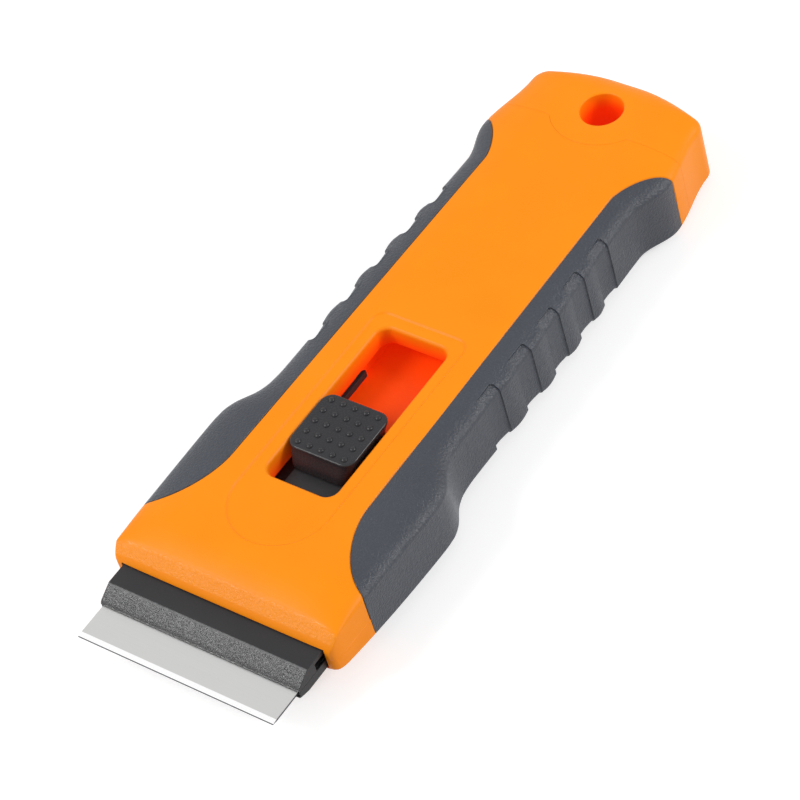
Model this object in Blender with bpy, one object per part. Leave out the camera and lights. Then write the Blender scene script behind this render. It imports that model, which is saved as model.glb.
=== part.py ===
# Retractable scraper with a 40 mm blade and a magazine of five spare blades.
#
# Every place along the tool is measured back from the cutting edge (Y), across
# from the middle (X) and up from the flat underside (Z). One empty carries the
# whole tool, so that the middle of its length lies over the world origin. The
# blade, its jaws, the carrier and the thumb button ride on a second empty and
# the magazine on a third: both slide along Y.

import math

import bmesh
import bpy
from mathutils import Matrix, Vector

for old_object in list(bpy.data.objects):
    bpy.data.objects.remove(old_object, do_unlink=True)


# Driving dimensions, in metres. The pieces follow one another back from the
# cutting edge, so most places are worked out from what lies in front of them.

parting_height = 0.0072
clearance = 0.0003
overrun = 0.0030

# Blade
blade_length = 0.0400
blade_width = 0.0185
blade_thickness = 0.0004
blade_bevel_width = 0.0013
blade_edge_thickness = 0.00006
blade_corner_radius = 0.0015
blade_slot_length = 0.0130
blade_slot_width = 0.0030
blade_slot_setback = 0.0125
blade_drop = 0.00065
blade_height = parting_height - blade_drop

# Jaws
jaw_side_cover = 0.0004
jaw_half_width = blade_length / 2 + jaw_side_cover
jaw_lip_place = 0.00685
jaw_lip_thickness = 0.00025
jaw_ridge_place = 0.0098
jaw_rise = 0.00265
jaw_top_height = blade_height + jaw_rise
jaw_rear_cover = 0.0055
jaw_rear_place = blade_width + jaw_rear_cover
jaw_end_recess_place = 0.0116
jaw_end_recess_width = 0.0030
jaw_plate_thickness = 0.0008
lower_jaw_place = 0.0065
lower_jaw_tip_length = 0.0023
lower_jaw_tip_thickness = 0.0004
lower_jaw_thickness = 0.00095
lower_jaw_floor = blade_height - blade_thickness / 2 - clearance - lower_jaw_thickness
jaw_seat_length = 0.0030
jaw_hinge_length = 0.0042
jaw_hinge_pin_radius = 0.0008
jaw_hinge_pin_length = 0.0080
jaw_ear_width = 0.0052

# Mouth of the housing, and the travel of the slider
mouth_place = 0.0139
mouth_corner_length = 0.0045
mouth_corner_width = 0.0020
change_travel = 0.0045
hidden_length = 0.0016
retract_travel = mouth_place + hidden_length
head_cavity_rear = jaw_rear_place + jaw_hinge_length + retract_travel + 2 * clearance

# Thumb button, and the window that it runs in
button_setback = 0.0193
button_front = jaw_rear_place + button_setback
button_length = 0.0123
button_half_width = 0.0063
button_corner_radius = 0.0020
button_foot_reach = 0.0013
button_foot_setback = 0.0010
button_foot_inset = 0.0001
button_proud = 0.0001
button_edge_round = 0.0004
dome_count = 5
dome_radius = 0.00055
dome_rise = 0.0003
window_front_gap = 0.0006
window_front = button_front - button_foot_reach - change_travel - window_front_gap
window_rear_gap = 0.0009
window_rear = button_front + button_length + retract_travel + window_rear_gap
window_side_gap = 0.0009
window_half_width = button_half_width + window_side_gap
window_corner_radius = 0.0022
window_wall = 0.0030
loop_margin = 0.0027
loop_round = 0.0010
loop_radius = window_half_width + loop_margin + loop_round
loop_reach = 0.0012
loop_centre = window_front - loop_reach
loop_depth = 0.0002

# Blade carrier and its click arms
carrier_half_width = 0.0050
button_foot_half_width = carrier_half_width - button_foot_inset
carrier_top_drop = 0.0040
carrier_wing_reach = 0.0010
carrier_wing_half_width = window_half_width + carrier_wing_reach
carrier_wing_thickness = 0.0016
carrier_tail_length = 0.0024
carrier_rear = button_front + button_length + carrier_tail_length
arm_length = 0.0066
arm_rear = carrier_rear + arm_length
arm_width = 0.0011
arm_height = 0.0026
arm_inset = 0.0010
arm_half_width = carrier_wing_half_width - arm_inset
arm_tip_length = 0.0016
arm_tip_reach = 0.0009
channel_end_gap = 0.0005
channel_rear = arm_rear + retract_travel + channel_end_gap
channel_end_wall = 0.0006
detent_radius = 0.0007

# Magazine, its strap and the spare blades
tray_side_margin = 0.0020
tray_half_width = blade_width / 2 + tray_side_margin
tray_floor_height = 0.0050
tray_wall = 0.0012
tray_roof = 0.0016
tray_rear_wall = 0.0006
tray_side_wall = 0.0016
spare_blade_count = 5
spare_blade_pitch = 0.0008
spare_stack_height = (spare_blade_count - 1) * spare_blade_pitch + blade_thickness
tray_top_height = (tray_floor_height + tray_wall + spare_stack_height + 2 * clearance
                   + tray_roof)
door_thickness = 0.0010
door_height = 0.0042
door_hook_length = 0.0050
door_hook_thickness = 0.0008
pocket_front = channel_rear + channel_end_wall
tray_front = pocket_front + clearance + door_thickness + clearance
tray_rear = tray_front + blade_length + clearance + tray_rear_wall
cap_plug_length = 0.0010
split_place = tray_rear + clearance + cap_plug_length
latch_hole_setback = 0.0075
latch_hole_place = split_place - latch_hole_setback
latch_hole_width = 0.0016
latch_hole_length = 0.0028

# End cap
cap_length = 0.0130
total_length = split_place + cap_length
cap_wall = 0.0028
hanging_hole_radius = 0.0039
hanging_hole_setback = 0.0084
hanging_hole_place = total_length - hanging_hole_setback
lobe_land = 0.0061
lobe_radius = hanging_hole_radius + lobe_land
lobe_setback = 0.0070
lobe_centre = total_length - lobe_setback
cap_corner_length = 0.0050
cap_place = total_length - cap_corner_length
rear_corner_width = 0.0018
rear_arc_sag = 0.0022
rear_round_length = 0.0045

# Plan of the housing: how far back and how far out each place lies
flare_gap = 0.0022
flare_place = head_cavity_rear + flare_gap
head_lead = 0.0035
head_place = flare_place - head_lead
neck_length = 0.0105
neck_place = flare_place + neck_length
palm_length = 0.0230
palm_place = neck_place + palm_length
bulge_lead = 0.0050
bulge_place = split_place - bulge_lead
waist_length = 0.0085
waist_place = bulge_place - waist_length
head_wall = 0.0028
head_half_width = jaw_half_width + clearance + head_wall
cheek_inset = 0.0004
cheek_half_width = head_half_width - cheek_inset
flare_inset = 0.0003
flare_half_width = head_half_width - flare_inset
waist_margin = 0.00605
waist_half_width = tray_half_width + waist_margin
neck_rise = 0.0018
neck_half_width = waist_half_width + neck_rise
palm_rise = 0.00135
palm_half_width = waist_half_width + palm_rise
bulge_rise = 0.0022
bulge_half_width = waist_half_width + bulge_rise
cap_rise = 0.0006
cap_half_width = waist_half_width + cap_rise

# Section of the housing
roof_thickness = 0.0023
body_height = tray_top_height + clearance + roof_thickness
crown_depth = 0.0024
crown_power = 2.8
flat_share = 0.42
mouth_crown_depth = 0.0007
mouth_bevel_length = 0.0061
mouth_lip_thickness = 0.0006
mouth_bevel_drop = body_height - jaw_top_height - clearance - mouth_lip_thickness
mouth_bevel_power = 1.8
belly_power = 2.0
belly_mouth_depth = 0.0014
belly_head_depth = 0.0033
belly_palm_depth = 0.0030
belly_cap_depth = 0.0015
lower_lip_thickness = 0.0012
nose_rise = lower_jaw_floor - clearance - lower_lip_thickness
nose_rise_run = 0.0035
nose_rise_end = flare_place + nose_rise_run

# Moulded grips
grip_thickness = 0.0012
cheek_length = 0.0107
grip_front_place = mouth_place + cheek_length
grip_rear_gap = 0.0037
grip_rear_place = split_place - grip_rear_gap
grip_front_sweep = 0.0139
grip_rear_sweep = 0.0093
grip_front_power = 1.7
grip_rear_power = 1.5
seam_front_inset = 0.0052
seam_front_half_width = neck_half_width - seam_front_inset
seam_rear_inset = 0.00425
seam_rear_half_width = waist_half_width - seam_rear_inset
rib_count = 5
rib_pitch = 0.0086
rib_length = 0.0045
rib_depth = 0.0007
rib_step = 0.0004
first_rib_lead = 0.0106
first_rib_rear = palm_place - first_rib_lead

# Housing screws
screw_seam_gap = 0.00185
screw_half_spacing = seam_rear_half_width - screw_seam_gap
screw_front_lead = 0.0060
screw_front_place = neck_place - screw_front_lead
screw_rear_lead = 0.0016
screw_rear_place = channel_rear - screw_rear_lead
screw_head_radius = 0.0020
screw_head_height = 0.0013
screw_shank_radius = 0.0010
screw_length = 0.0095
screw_recess_depth = 0.0018
cross_slot_length = 0.0024
cross_slot_width = 0.0006
cross_slot_depth = 0.0006


# Collections and the empties that carry the pieces

scraper = bpy.data.collections.new("retractable_scraper")
cutters = bpy.data.collections.new("cutters")
bpy.context.scene.collection.children.link(scraper)
bpy.context.scene.collection.children.link(cutters)


def add_empty(name, place, parent=None):
    empty = bpy.data.objects.new(name, None)
    empty.location = place
    empty.parent = parent
    scraper.objects.link(empty)
    return empty


frame = add_empty("tool_frame", (0, -total_length / 2, 0))
slider_slide = add_empty("slider_slide", (0, 0, blade_height), frame)
magazine_slide = add_empty("magazine_slide", (0, split_place, tray_floor_height), frame)


# Materials

def make_material(name, colour, roughness, metallic=0.0):
    material = bpy.data.materials.new(name)
    material.use_nodes = True
    shader = material.node_tree.nodes["Principled BSDF"]
    shader.inputs["Base Color"].default_value = (*colour, 1.0)
    shader.inputs["Roughness"].default_value = roughness
    shader.inputs["Metallic"].default_value = metallic
    material.diffuse_color = (*colour, 1.0)
    return material


def orange_plastic(name):
    return make_material(name, (1.0, 0.29, 0.012), 0.38)


def grip_rubber(name):
    return make_material(name, (0.065, 0.07, 0.082), 0.55)


def slider_plastic(name):
    return make_material(name, (0.052, 0.052, 0.056), 0.45)


def blade_steel(name):
    return make_material(name, (0.62, 0.62, 0.61), 0.3, 1.0)


def screw_steel(name):
    return make_material(name, (0.5, 0.5, 0.5), 0.35, 1.0)


# Modelling helpers

def finish_mesh(shape, name):
    bmesh.ops.recalc_face_normals(shape, faces=shape.faces)
    mesh = bpy.data.meshes.new(name)
    shape.to_mesh(mesh)
    shape.free()
    return mesh


def place_piece(name, mesh, material, parent=frame):
    piece = bpy.data.objects.new(name, mesh)
    piece.parent = parent
    piece.matrix_parent_inverse = Matrix.Translation(-parent.location)
    if parent is frame:
        piece.matrix_parent_inverse = Matrix.Identity(4)
    scraper.objects.link(piece)
    mesh.materials.clear()
    mesh.materials.append(material)
    return piece


def place_cutter(name, mesh):
    cutter = bpy.data.objects.new(name, mesh)
    cutter.parent = frame
    cutter.hide_render = True
    cutter.display_type = "WIRE"
    cutters.objects.link(cutter)
    return cutter


def combine(target, other, operation):
    modifier = target.modifiers.new(f"{operation.lower()}_{other.name}", "BOOLEAN")
    modifier.operation = operation
    modifier.solver = "EXACT"
    modifier.object = other


def cut(target, *others):
    for other in others:
        combine(target, other, "DIFFERENCE")


def join(target, *others):
    for other in others:
        combine(target, other, "UNION")


def keep(target, other):
    combine(target, other, "INTERSECT")


def box_mesh(name, low, high):
    shape = bmesh.new()
    bmesh.ops.create_cube(shape, size=1.0)
    low, high = Vector(low), Vector(high)
    size = high - low
    bmesh.ops.scale(shape, vec=size, verts=shape.verts)
    bmesh.ops.translate(shape, vec=(low + high) / 2, verts=shape.verts)
    return finish_mesh(shape, name)


def cylinder_mesh(name, centre, radius, depth, axis="Z", segments=24):
    turns = {"X": Matrix.Rotation(math.pi / 2, 4, "Y"), "Z": Matrix.Identity(4)}
    shape = bmesh.new()
    bmesh.ops.create_cone(shape, cap_ends=True, segments=segments, radius1=radius,
                          radius2=radius, depth=depth,
                          matrix=Matrix.Translation(centre) @ turns[axis])
    return finish_mesh(shape, name)


def loft_mesh(name, sections):
    """Skin a row of closed sections that have the same number of points."""
    shape = bmesh.new()
    rings = [[shape.verts.new(point) for point in section] for section in sections]
    for ring, following in zip(rings, rings[1:]):
        for index in range(len(ring)):
            after = (index + 1) % len(ring)
            shape.faces.new((ring[index], ring[after], following[after], following[index]))
    shape.faces.new(rings[0])
    shape.faces.new(rings[-1])
    return finish_mesh(shape, name)


def plate_mesh(name, outline, low, high):
    """Make a plate from a plan outline, between two heights."""
    curve = bpy.data.curves.new(name, "CURVE")
    curve.dimensions = "2D"
    curve.fill_mode = "BOTH"
    curve.extrude = (high - low) / 2
    spline = curve.splines.new("POLY")
    spline.points.add(len(outline) - 1)
    for point, (x, y) in zip(spline.points, outline):
        point.co = (x, y, 0, 1)
    spline.use_cyclic_u = True
    guide = bpy.data.objects.new(name, curve)
    guide.location.z = (low + high) / 2
    cutters.objects.link(guide)
    bpy.context.view_layer.update()
    evaluated = guide.evaluated_get(bpy.context.evaluated_depsgraph_get())
    mesh = bpy.data.meshes.new_from_object(evaluated)
    mesh.transform(guide.matrix_world)
    bpy.data.objects.remove(guide, do_unlink=True)
    shape = bmesh.new()
    shape.from_mesh(mesh)
    bpy.data.meshes.remove(mesh)
    bmesh.ops.remove_doubles(shape, verts=shape.verts, dist=clearance / 100)
    return finish_mesh(shape, name)


def arc_points(centre, radius, start, end, steps):
    """Points on a round corner, with the angles in degrees."""
    points = []
    for step in range(steps + 1):
        angle = math.radians(start + (end - start) * step / steps)
        points.append((centre[0] + radius * math.cos(angle), centre[1] + radius * math.sin(angle)))
    return points


def rounded_rectangle(half_width, front, rear, radius, steps=4):
    inner = half_width - radius
    return (arc_points((inner, front + radius), radius, -90, 0, steps)
            + arc_points((inner, rear - radius), radius, 0, 90, steps)
            + arc_points((-inner, rear - radius), radius, 90, 180, steps)
            + arc_points((-inner, front + radius), radius, 180, 270, steps))


def spread(first, last, count):
    return [first + (last - first) * step / count for step in range(count)]


def smooth_line(points, place):
    """Read a smooth line through (place, value) points without overshoot."""
    if place <= points[0][0]:
        return points[0][1]
    if place >= points[-1][0]:
        return points[-1][1]
    slopes = [(b[1] - a[1]) / (b[0] - a[0]) for a, b in zip(points, points[1:])]
    tangents = [0.0]
    for before, after in zip(slopes, slopes[1:]):
        together = before * after > 0
        tangents.append(2 * before * after / (before + after) if together else 0.0)
    tangents.append(0.0)
    index = max(i for i in range(len(slopes)) if points[i][0] <= place)
    (start, low), (end, high) = points[index], points[index + 1]
    span = end - start
    t = (place - start) / span
    return (low * (2 * t**3 - 3 * t**2 + 1) + high * (3 * t**2 - 2 * t**3)
            + span * (tangents[index] * (t**3 - 2 * t**2 + t) + tangents[index + 1] * (t**3 - t**2)))


# Outer form of the housing, shared by the shells, the grips and the end cap

def round_off(share, power):
    """How far a rounded edge has fallen, as a share of its depth."""
    return 1 - (1 - min(share, 1.0) ** power) ** (1 / power)


width_line = [
    (mouth_place + mouth_corner_length, cheek_half_width),
    (head_place, head_half_width),
    (flare_place, flare_half_width),
    (neck_place, neck_half_width),
    (palm_place, palm_half_width),
    (waist_place, waist_half_width),
    (bulge_place, bulge_half_width),
    (cap_place, cap_half_width),
]
rear_arc_half_width = cap_half_width - rear_corner_width
rear_arc_place = total_length - rear_arc_sag


def half_width(place):
    corner = (place - mouth_place) / mouth_corner_length
    if corner < 1:
        return cheek_half_width - mouth_corner_width * round_off(1 - corner, 2)
    if place > rear_arc_place:
        return rear_arc_half_width * math.sqrt((total_length - place) / rear_arc_sag)
    if place > cap_place:
        share = (place - cap_place) / (rear_arc_place - cap_place)
        return cap_half_width - rear_corner_width * round_off(share, 2)
    return smooth_line(width_line, place)


def rear_share(place):
    return max(0.0, 1 - (total_length - place) / rear_round_length)


def crown_fall(place):
    """Drop of the middle of the top face below the full height."""
    bevel = max(0.0, 1 - (place - mouth_place) / mouth_bevel_length)
    return (mouth_bevel_drop * bevel ** mouth_bevel_power
            + crown_depth * round_off(rear_share(place), 2))


def crown_edge_depth(place):
    fall = crown_fall(place)
    least = mouth_crown_depth if place < head_place else crown_depth / 20
    return max(crown_depth - fall, least)


def belly_rise(place):
    """Rise of the middle of the underside above the resting plane."""
    nose = max(0.0, 1 - (place - mouth_place) / (nose_rise_end - mouth_place))
    return nose_rise * nose**2 + belly_cap_depth * round_off(rear_share(place), 2)


belly_depth_line = [
    (mouth_place, belly_mouth_depth),
    (flare_place, belly_head_depth),
    (palm_place, belly_palm_depth),
    (waist_place, belly_palm_depth),
    (bulge_place, belly_cap_depth),
]


def belly_edge_depth(place):
    depth = smooth_line(belly_depth_line, place)
    return max(depth - belly_cap_depth * round_off(rear_share(place), 2), belly_cap_depth / 20)


def rib_fall(place):
    """Depth of the finger ribs in the grip's side."""
    for number in range(rib_count):
        rear = first_rib_rear + number * rib_pitch
        share = (place - rear + rib_length) / rib_length
        if 0 < share <= 1:
            return rib_depth * share**1.5
        if rear < place < rear + rib_step:
            return rib_depth * (1 - (place - rear) / rib_step)
    return 0.0


crown_shares = (0.0, flat_share, 0.64, 0.79, 0.89, 0.955, 0.99, 1.0)
rib_shares = (0.0, 0.0, 0.0, 0.0, 0.1, 0.75, 1.0, 1.0)


def half_section(place, upper, inset=0.0, ribs=False):
    """Closed section of the upper or lower half of the housing, from left to right."""
    width = half_width(place) - inset
    sink = rib_fall(place) if ribs else 0.0
    joint = parting_height + (clearance / 2 if upper else -clearance / 2)
    if upper:
        middle = body_height - crown_fall(place) - inset
        depth, power, direction = crown_edge_depth(place), crown_power, -1
    else:
        middle = belly_rise(place) + inset
        depth, power, direction = belly_edge_depth(place), belly_power, 1
    right = []
    for share, rib_share in zip(crown_shares, rib_shares):
        beyond = max(0.0, share - flat_share) / (1 - flat_share)
        height = middle + direction * depth * round_off(beyond, power)
        right.append((width * share - sink * rib_share, height))
    right.append((width - sink, joint))
    left = [(-x, z) for x, z in reversed(right[1:])]
    return [Vector((x, place, z)) for x, z in left + right]


plain_places = (spread(mouth_place, mouth_place + mouth_bevel_length, 8)
                + spread(mouth_place + mouth_bevel_length, flare_place, 5)
                + spread(flare_place, neck_place, 8)
                + spread(neck_place, waist_place, 6)
                + spread(waist_place, bulge_place, 6)
                + spread(bulge_place, split_place, 3))
rib_places = []
for rib_number in range(rib_count):
    rib_rear = first_rib_rear + rib_number * rib_pitch
    rib_places += spread(rib_rear - rib_length, rib_rear, 3)
    rib_places += [rib_rear, rib_rear + rib_step]
grip_places = sorted([place for place in plain_places
                      if not first_rib_rear - rib_length < place < rib_places[-1] + rib_step]
                     + rib_places)
rear_shares = (1.0, 0.93, 0.8, 0.6, 0.35, 0.1)
cap_places = (spread(split_place, cap_place, 3)
              + spread(cap_place, rear_arc_place, 4)
              + [total_length - rear_arc_sag * share**2 for share in rear_shares])


def seam_outline(side, grow=0.0):
    """Plan outline of one grip: its seam on the top face and a straight outer side."""
    outer = max(head_half_width, bulge_half_width) + overrun
    front_span = head_half_width - seam_front_half_width
    rear_span = bulge_half_width - seam_rear_half_width
    front_turn = grip_front_place + grip_front_sweep
    rear_turn = grip_rear_place - grip_rear_sweep
    points = [(outer, grip_front_place)]
    steps = 10
    for step in range(steps + 1):
        angle = math.pi / 2 * step / steps
        across = math.cos(angle) ** (2 / grip_front_power)
        along = math.sin(angle) ** (2 / grip_front_power)
        points.append((head_half_width - front_span * along,
                       front_turn - grip_front_sweep * across))
    for step in range(steps, -1, -1):
        angle = math.pi / 2 * step / steps
        across = math.cos(angle) ** (2 / grip_rear_power)
        along = math.sin(angle) ** (2 / grip_rear_power)
        points.append((bulge_half_width - rear_span * along,
                       rear_turn + grip_rear_sweep * across))
    points.append((outer, grip_rear_place))
    grown = []
    for index, (x, y) in enumerate(points):
        before = Vector(points[max(index - 1, 0)])
        after = Vector(points[min(index + 1, len(points) - 1)])
        outward = (after - before).normalized()
        grown.append((side * (x - outward.y * grow), y + outward.x * grow))
    return grown


def housing_half(name, places, upper, inset=0.0, ribs=False):
    sections = [half_section(place, upper, inset, ribs) for place in places]
    return loft_mesh(name, sections)


# Grips: four soft pads, one on each side of each shell

def add_grips():
    recesses = {True: [], False: []}
    for half, upper in (("top", True), ("bottom", False)):
        core_places = grip_places + [split_place]
        core = place_cutter(f"{half}_grip_core", housing_half(
            "core", core_places, upper, grip_thickness))
        bed = place_cutter(f"{half}_grip_bed", housing_half(
            "bed", core_places, upper, grip_thickness + clearance))
        for handed, side in (("left", -1), ("right", 1)):
            low = -overrun
            high = body_height + overrun
            prism = place_cutter(f"{half}_{handed}_grip_prism", plate_mesh(
                "prism", seam_outline(side), low, high))
            recess = place_cutter(f"{half}_{handed}_grip_recess", plate_mesh(
                "recess", seam_outline(side, clearance), low, high))
            cut(recess, bed)
            recesses[upper].append(recess)
            name = f"{half}_grip_{handed}"
            grip = place_piece(name, housing_half(
                name, core_places, upper, ribs=True), grip_rubber(name))
            keep(grip, prism)
            cut(grip, core)
    return recesses


# Hollows that the two shells share

def add_shell_hollows():
    """Head cavity, carrier channel and magazine pocket."""
    head_half = jaw_half_width + clearance
    head_floor = lower_jaw_floor - clearance
    head = place_cutter("head_cavity", box_mesh(
        "head", (-head_half, mouth_place - overrun, head_floor),
        (head_half, head_cavity_rear, jaw_top_height + clearance)))
    wing_half = carrier_wing_half_width + clearance
    channel = place_cutter("carrier_channel", box_mesh(
        "channel", (-wing_half, mouth_place + mouth_bevel_length, parting_height - overrun),
        (wing_half, channel_rear, body_height - window_wall)))
    tray_half = tray_half_width + clearance
    pocket = place_cutter("magazine_pocket", box_mesh(
        "pocket", (-tray_half, pocket_front, tray_floor_height - clearance),
        (tray_half, split_place + overrun, tray_top_height + clearance)))
    return {True: (head, channel, pocket), False: (head, pocket)}


def carrier_floor():
    return parting_height - clearance / 2 + clearance


# Shells

def lobe_outline(radius):
    """Front of the end cap's lobe, closed a little way behind the split."""
    reach = math.sqrt(radius**2 - (lobe_centre - split_place) ** 2)
    turn = math.degrees(math.asin(reach / radius))
    return (arc_points((0, lobe_centre), radius, -90 - turn, -90 + turn, 14)
            + [(reach, split_place + overrun), (-reach, split_place + overrun)])


def add_top_shell(recesses, hollows):
    name = "top_shell"
    shell = place_piece(name, housing_half(
        name, plain_places + [split_place], True), orange_plastic(name))
    cut(shell, *recesses, *hollows)
    window = place_cutter("window_cutter", plate_mesh(
        "window", rounded_rectangle(window_half_width, window_front, window_rear,
                                    window_corner_radius),
        body_height - window_wall - clearance, body_height + overrun))
    loop = window_half_width + loop_margin
    turn = math.degrees(math.asin(loop / loop_radius))
    dish = place_cutter("window_dish", plate_mesh(
        "dish", arc_points((0, loop_centre), loop_radius, -180 - (90 - turn), 90 - turn, 24)
        + arc_points((loop - loop_margin, window_rear), loop_margin, 0, 90, 5)
        + arc_points((-loop + loop_margin, window_rear), loop_margin, 90, 180, 5),
        body_height - loop_depth, body_height + overrun))
    lobe = place_cutter("lobe_cutter", plate_mesh(
        "lobe", lobe_outline(lobe_radius + clearance),
        tray_top_height - clearance, body_height + overrun))
    cut(shell, dish, window, lobe)
    add_detents(shell)
    for place, x in screw_places():
        boss = place_cutter(f"screw_bore_{place:.3f}_{x:.3f}", cylinder_mesh(
            "bore", (x, place, screw_seat() + screw_length / 2 + clearance),
            screw_shank_radius + clearance, screw_length, segments=16))
        cut(shell, boss)
    return shell


def add_detents(shell):
    """Click-stop notches in the channel walls, one for each place where the slider holds."""
    for handed, side in (("left", -1), ("right", 1)):
        for number, travel in enumerate((-change_travel, 0, retract_travel)):
            place = arm_rear - arm_tip_length / 2 + travel
            wall = side * (carrier_wing_half_width + clearance)
            notch = place_cutter(f"detent_{handed}_{number}", cylinder_mesh(
                "notch", (wall, place, arm_floor() + arm_height / 2),
                detent_radius, arm_height, segments=12))
            cut(shell, notch)


def add_bottom_shell(recesses, hollows):
    name = "bottom_shell"
    shell = place_piece(name, housing_half(
        name, plain_places + [split_place], False), orange_plastic(name))
    cut(shell, *recesses, *hollows)
    for place, x in screw_places():
        bore = place_cutter(f"screw_hole_{place:.3f}_{x:.3f}", cylinder_mesh(
            "hole", (x, place, parting_height / 2), screw_shank_radius + clearance,
            parting_height + overrun, segments=16))
        sink = place_cutter(f"screw_sink_{place:.3f}_{x:.3f}", cylinder_mesh(
            "sink", (x, place, (screw_seat() - overrun) / 2), screw_head_radius + clearance,
            screw_seat() + overrun, segments=20))
        cut(shell, bore, sink)
    return shell


# Housing screws

def screw_places():
    return [(place, side * screw_half_spacing)
            for place in (screw_front_place, screw_rear_place) for side in (-1, 1)]


def screw_seat():
    return screw_recess_depth + screw_head_height


def add_screws():
    head = cylinder_mesh("housing_screw", (0, 0, -clearance - screw_head_height / 2),
                         screw_head_radius, screw_head_height, segments=20)
    shank = place_cutter("screw_shank", cylinder_mesh(
        "shank", (0, 0, screw_length / 2 - clearance - screw_head_height / 2),
        screw_shank_radius, screw_length + screw_head_height / 2, segments=12))
    slots = []
    for letter, size in (("a", (cross_slot_length, cross_slot_width)),
                         ("b", (cross_slot_width, cross_slot_length))):
        slots.append(place_cutter(f"screw_slot_{letter}", box_mesh(
            "slot", (-size[0] / 2, -size[1] / 2, -clearance - screw_head_height - overrun),
            (size[0] / 2, size[1] / 2, cross_slot_depth - screw_head_height - clearance))))
    for number, (place, x) in enumerate(screw_places(), start=1):
        name = f"housing_screw_{number}"
        screw = place_piece(name, head.copy(), screw_steel(name))
        screw.location = (x, place, screw_seat())
        for tool in (shank, *slots):
            fitted = tool.copy()
            fitted.name = f"{tool.name}_{number}"
            fitted.parent = screw
            cutters.objects.link(fitted)
            combine(screw, fitted, "UNION" if tool is shank else "DIFFERENCE")
    for tool in (shank, *slots):
        bpy.data.objects.remove(tool, do_unlink=True)


# Blade and spare blades

def blade_mesh(name):
    """A steel strip with a ground front edge, rounded rear corners and a middle slot."""
    half = blade_length / 2
    radius = blade_corner_radius
    outline = ([(-half, 0), (half, 0)]
               + arc_points((half - radius, blade_width - radius), radius, 0, 90, 4)
               + arc_points((-half + radius, blade_width - radius), radius, 90, 180, 4))
    mesh = plate_mesh(name, outline, -blade_thickness / 2, blade_thickness / 2)
    shape = bmesh.new()
    shape.from_mesh(mesh)
    bpy.data.meshes.remove(mesh)
    bmesh.ops.bisect_plane(shape, geom=shape.verts[:] + shape.edges[:] + shape.faces[:],
                           plane_co=(0, blade_bevel_width, 0), plane_no=(0, 1, 0))
    for vertex in shape.verts:
        if vertex.co.y < blade_bevel_width / 2:
            vertex.co.z *= blade_edge_thickness / blade_thickness
    return finish_mesh(shape, name)


def slot_outline(length, width, middle):
    half = length / 2 - width / 2
    return (arc_points((half, middle), width / 2, -90, 90, 6)
            + arc_points((-half, middle), width / 2, 90, 270, 6))


def add_blade():
    name = "blade"
    blade = place_piece(name, blade_mesh(name), blade_steel(name), slider_slide)
    blade.location = (0, 0, blade_height)
    slot = place_cutter("blade_slot", plate_mesh(
        "slot", slot_outline(blade_slot_length, blade_slot_width, blade_slot_setback),
        blade_height - overrun, blade_height + overrun))
    cut(blade, slot)


def spare_height(number):
    first = tray_floor_height + tray_wall + clearance + blade_thickness / 2
    return first + number * spare_blade_pitch


def add_spare_blades():
    middle = tray_front + blade_length / 2
    for number in range(spare_blade_count):
        name = f"spare_blade_{number + 1}"
        blade = place_piece(name, blade_mesh(name), blade_steel(name), magazine_slide)
        blade.location = (-blade_width / 2, middle, spare_height(number))
        blade.rotation_euler.z = -math.pi / 2
        slot = place_cutter(f"spare_slot_{number + 1}", plate_mesh(
            "slot", slot_outline(blade_slot_length, blade_slot_width, blade_slot_setback),
            -blade_thickness, blade_thickness))
        slot.parent = blade
        cut(blade, slot)


# Jaws

def along_x(profile, half):
    """Sections at both ends of a piece whose (y, z) profile runs straight across."""
    return [[Vector((x, y, z)) for y, z in profile] for x in (-half, half)]


def add_upper_jaw():
    name = "upper_jaw"
    under = blade_height + blade_thickness / 2 + clearance
    profile = [(jaw_lip_place, under),
               (jaw_lip_place, under + jaw_lip_thickness),
               (jaw_ridge_place, jaw_top_height - jaw_lip_thickness / 2),
               (jaw_ridge_place + jaw_lip_thickness * 2, jaw_top_height),
               (jaw_rear_place, jaw_top_height),
               (jaw_rear_place, under)]
    jaw = place_piece(name, loft_mesh(name, along_x(profile, jaw_half_width)),
                      slider_plastic(name), slider_slide)
    for handed, side in (("left", -1), ("right", 1)):
        inner = side * (jaw_half_width - jaw_end_recess_width)
        outer = side * (jaw_half_width + overrun)
        recess = place_cutter(f"jaw_recess_{handed}", box_mesh(
            "recess", (min(inner, outer), jaw_end_recess_place, under - overrun),
            (max(inner, outer), jaw_rear_place - jaw_seat_length,
             jaw_top_height - jaw_plate_thickness)))
        cut(jaw, recess)
    peg_drop = blade_thickness + clearance + lower_jaw_thickness / 2
    peg = place_cutter("jaw_peg", plate_mesh(
        "peg", slot_outline(blade_slot_length - 2 * clearance, blade_slot_width - 2 * clearance,
                            blade_slot_setback),
        under - peg_drop, under + jaw_plate_thickness))
    join(jaw, peg)
    return jaw


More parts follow.
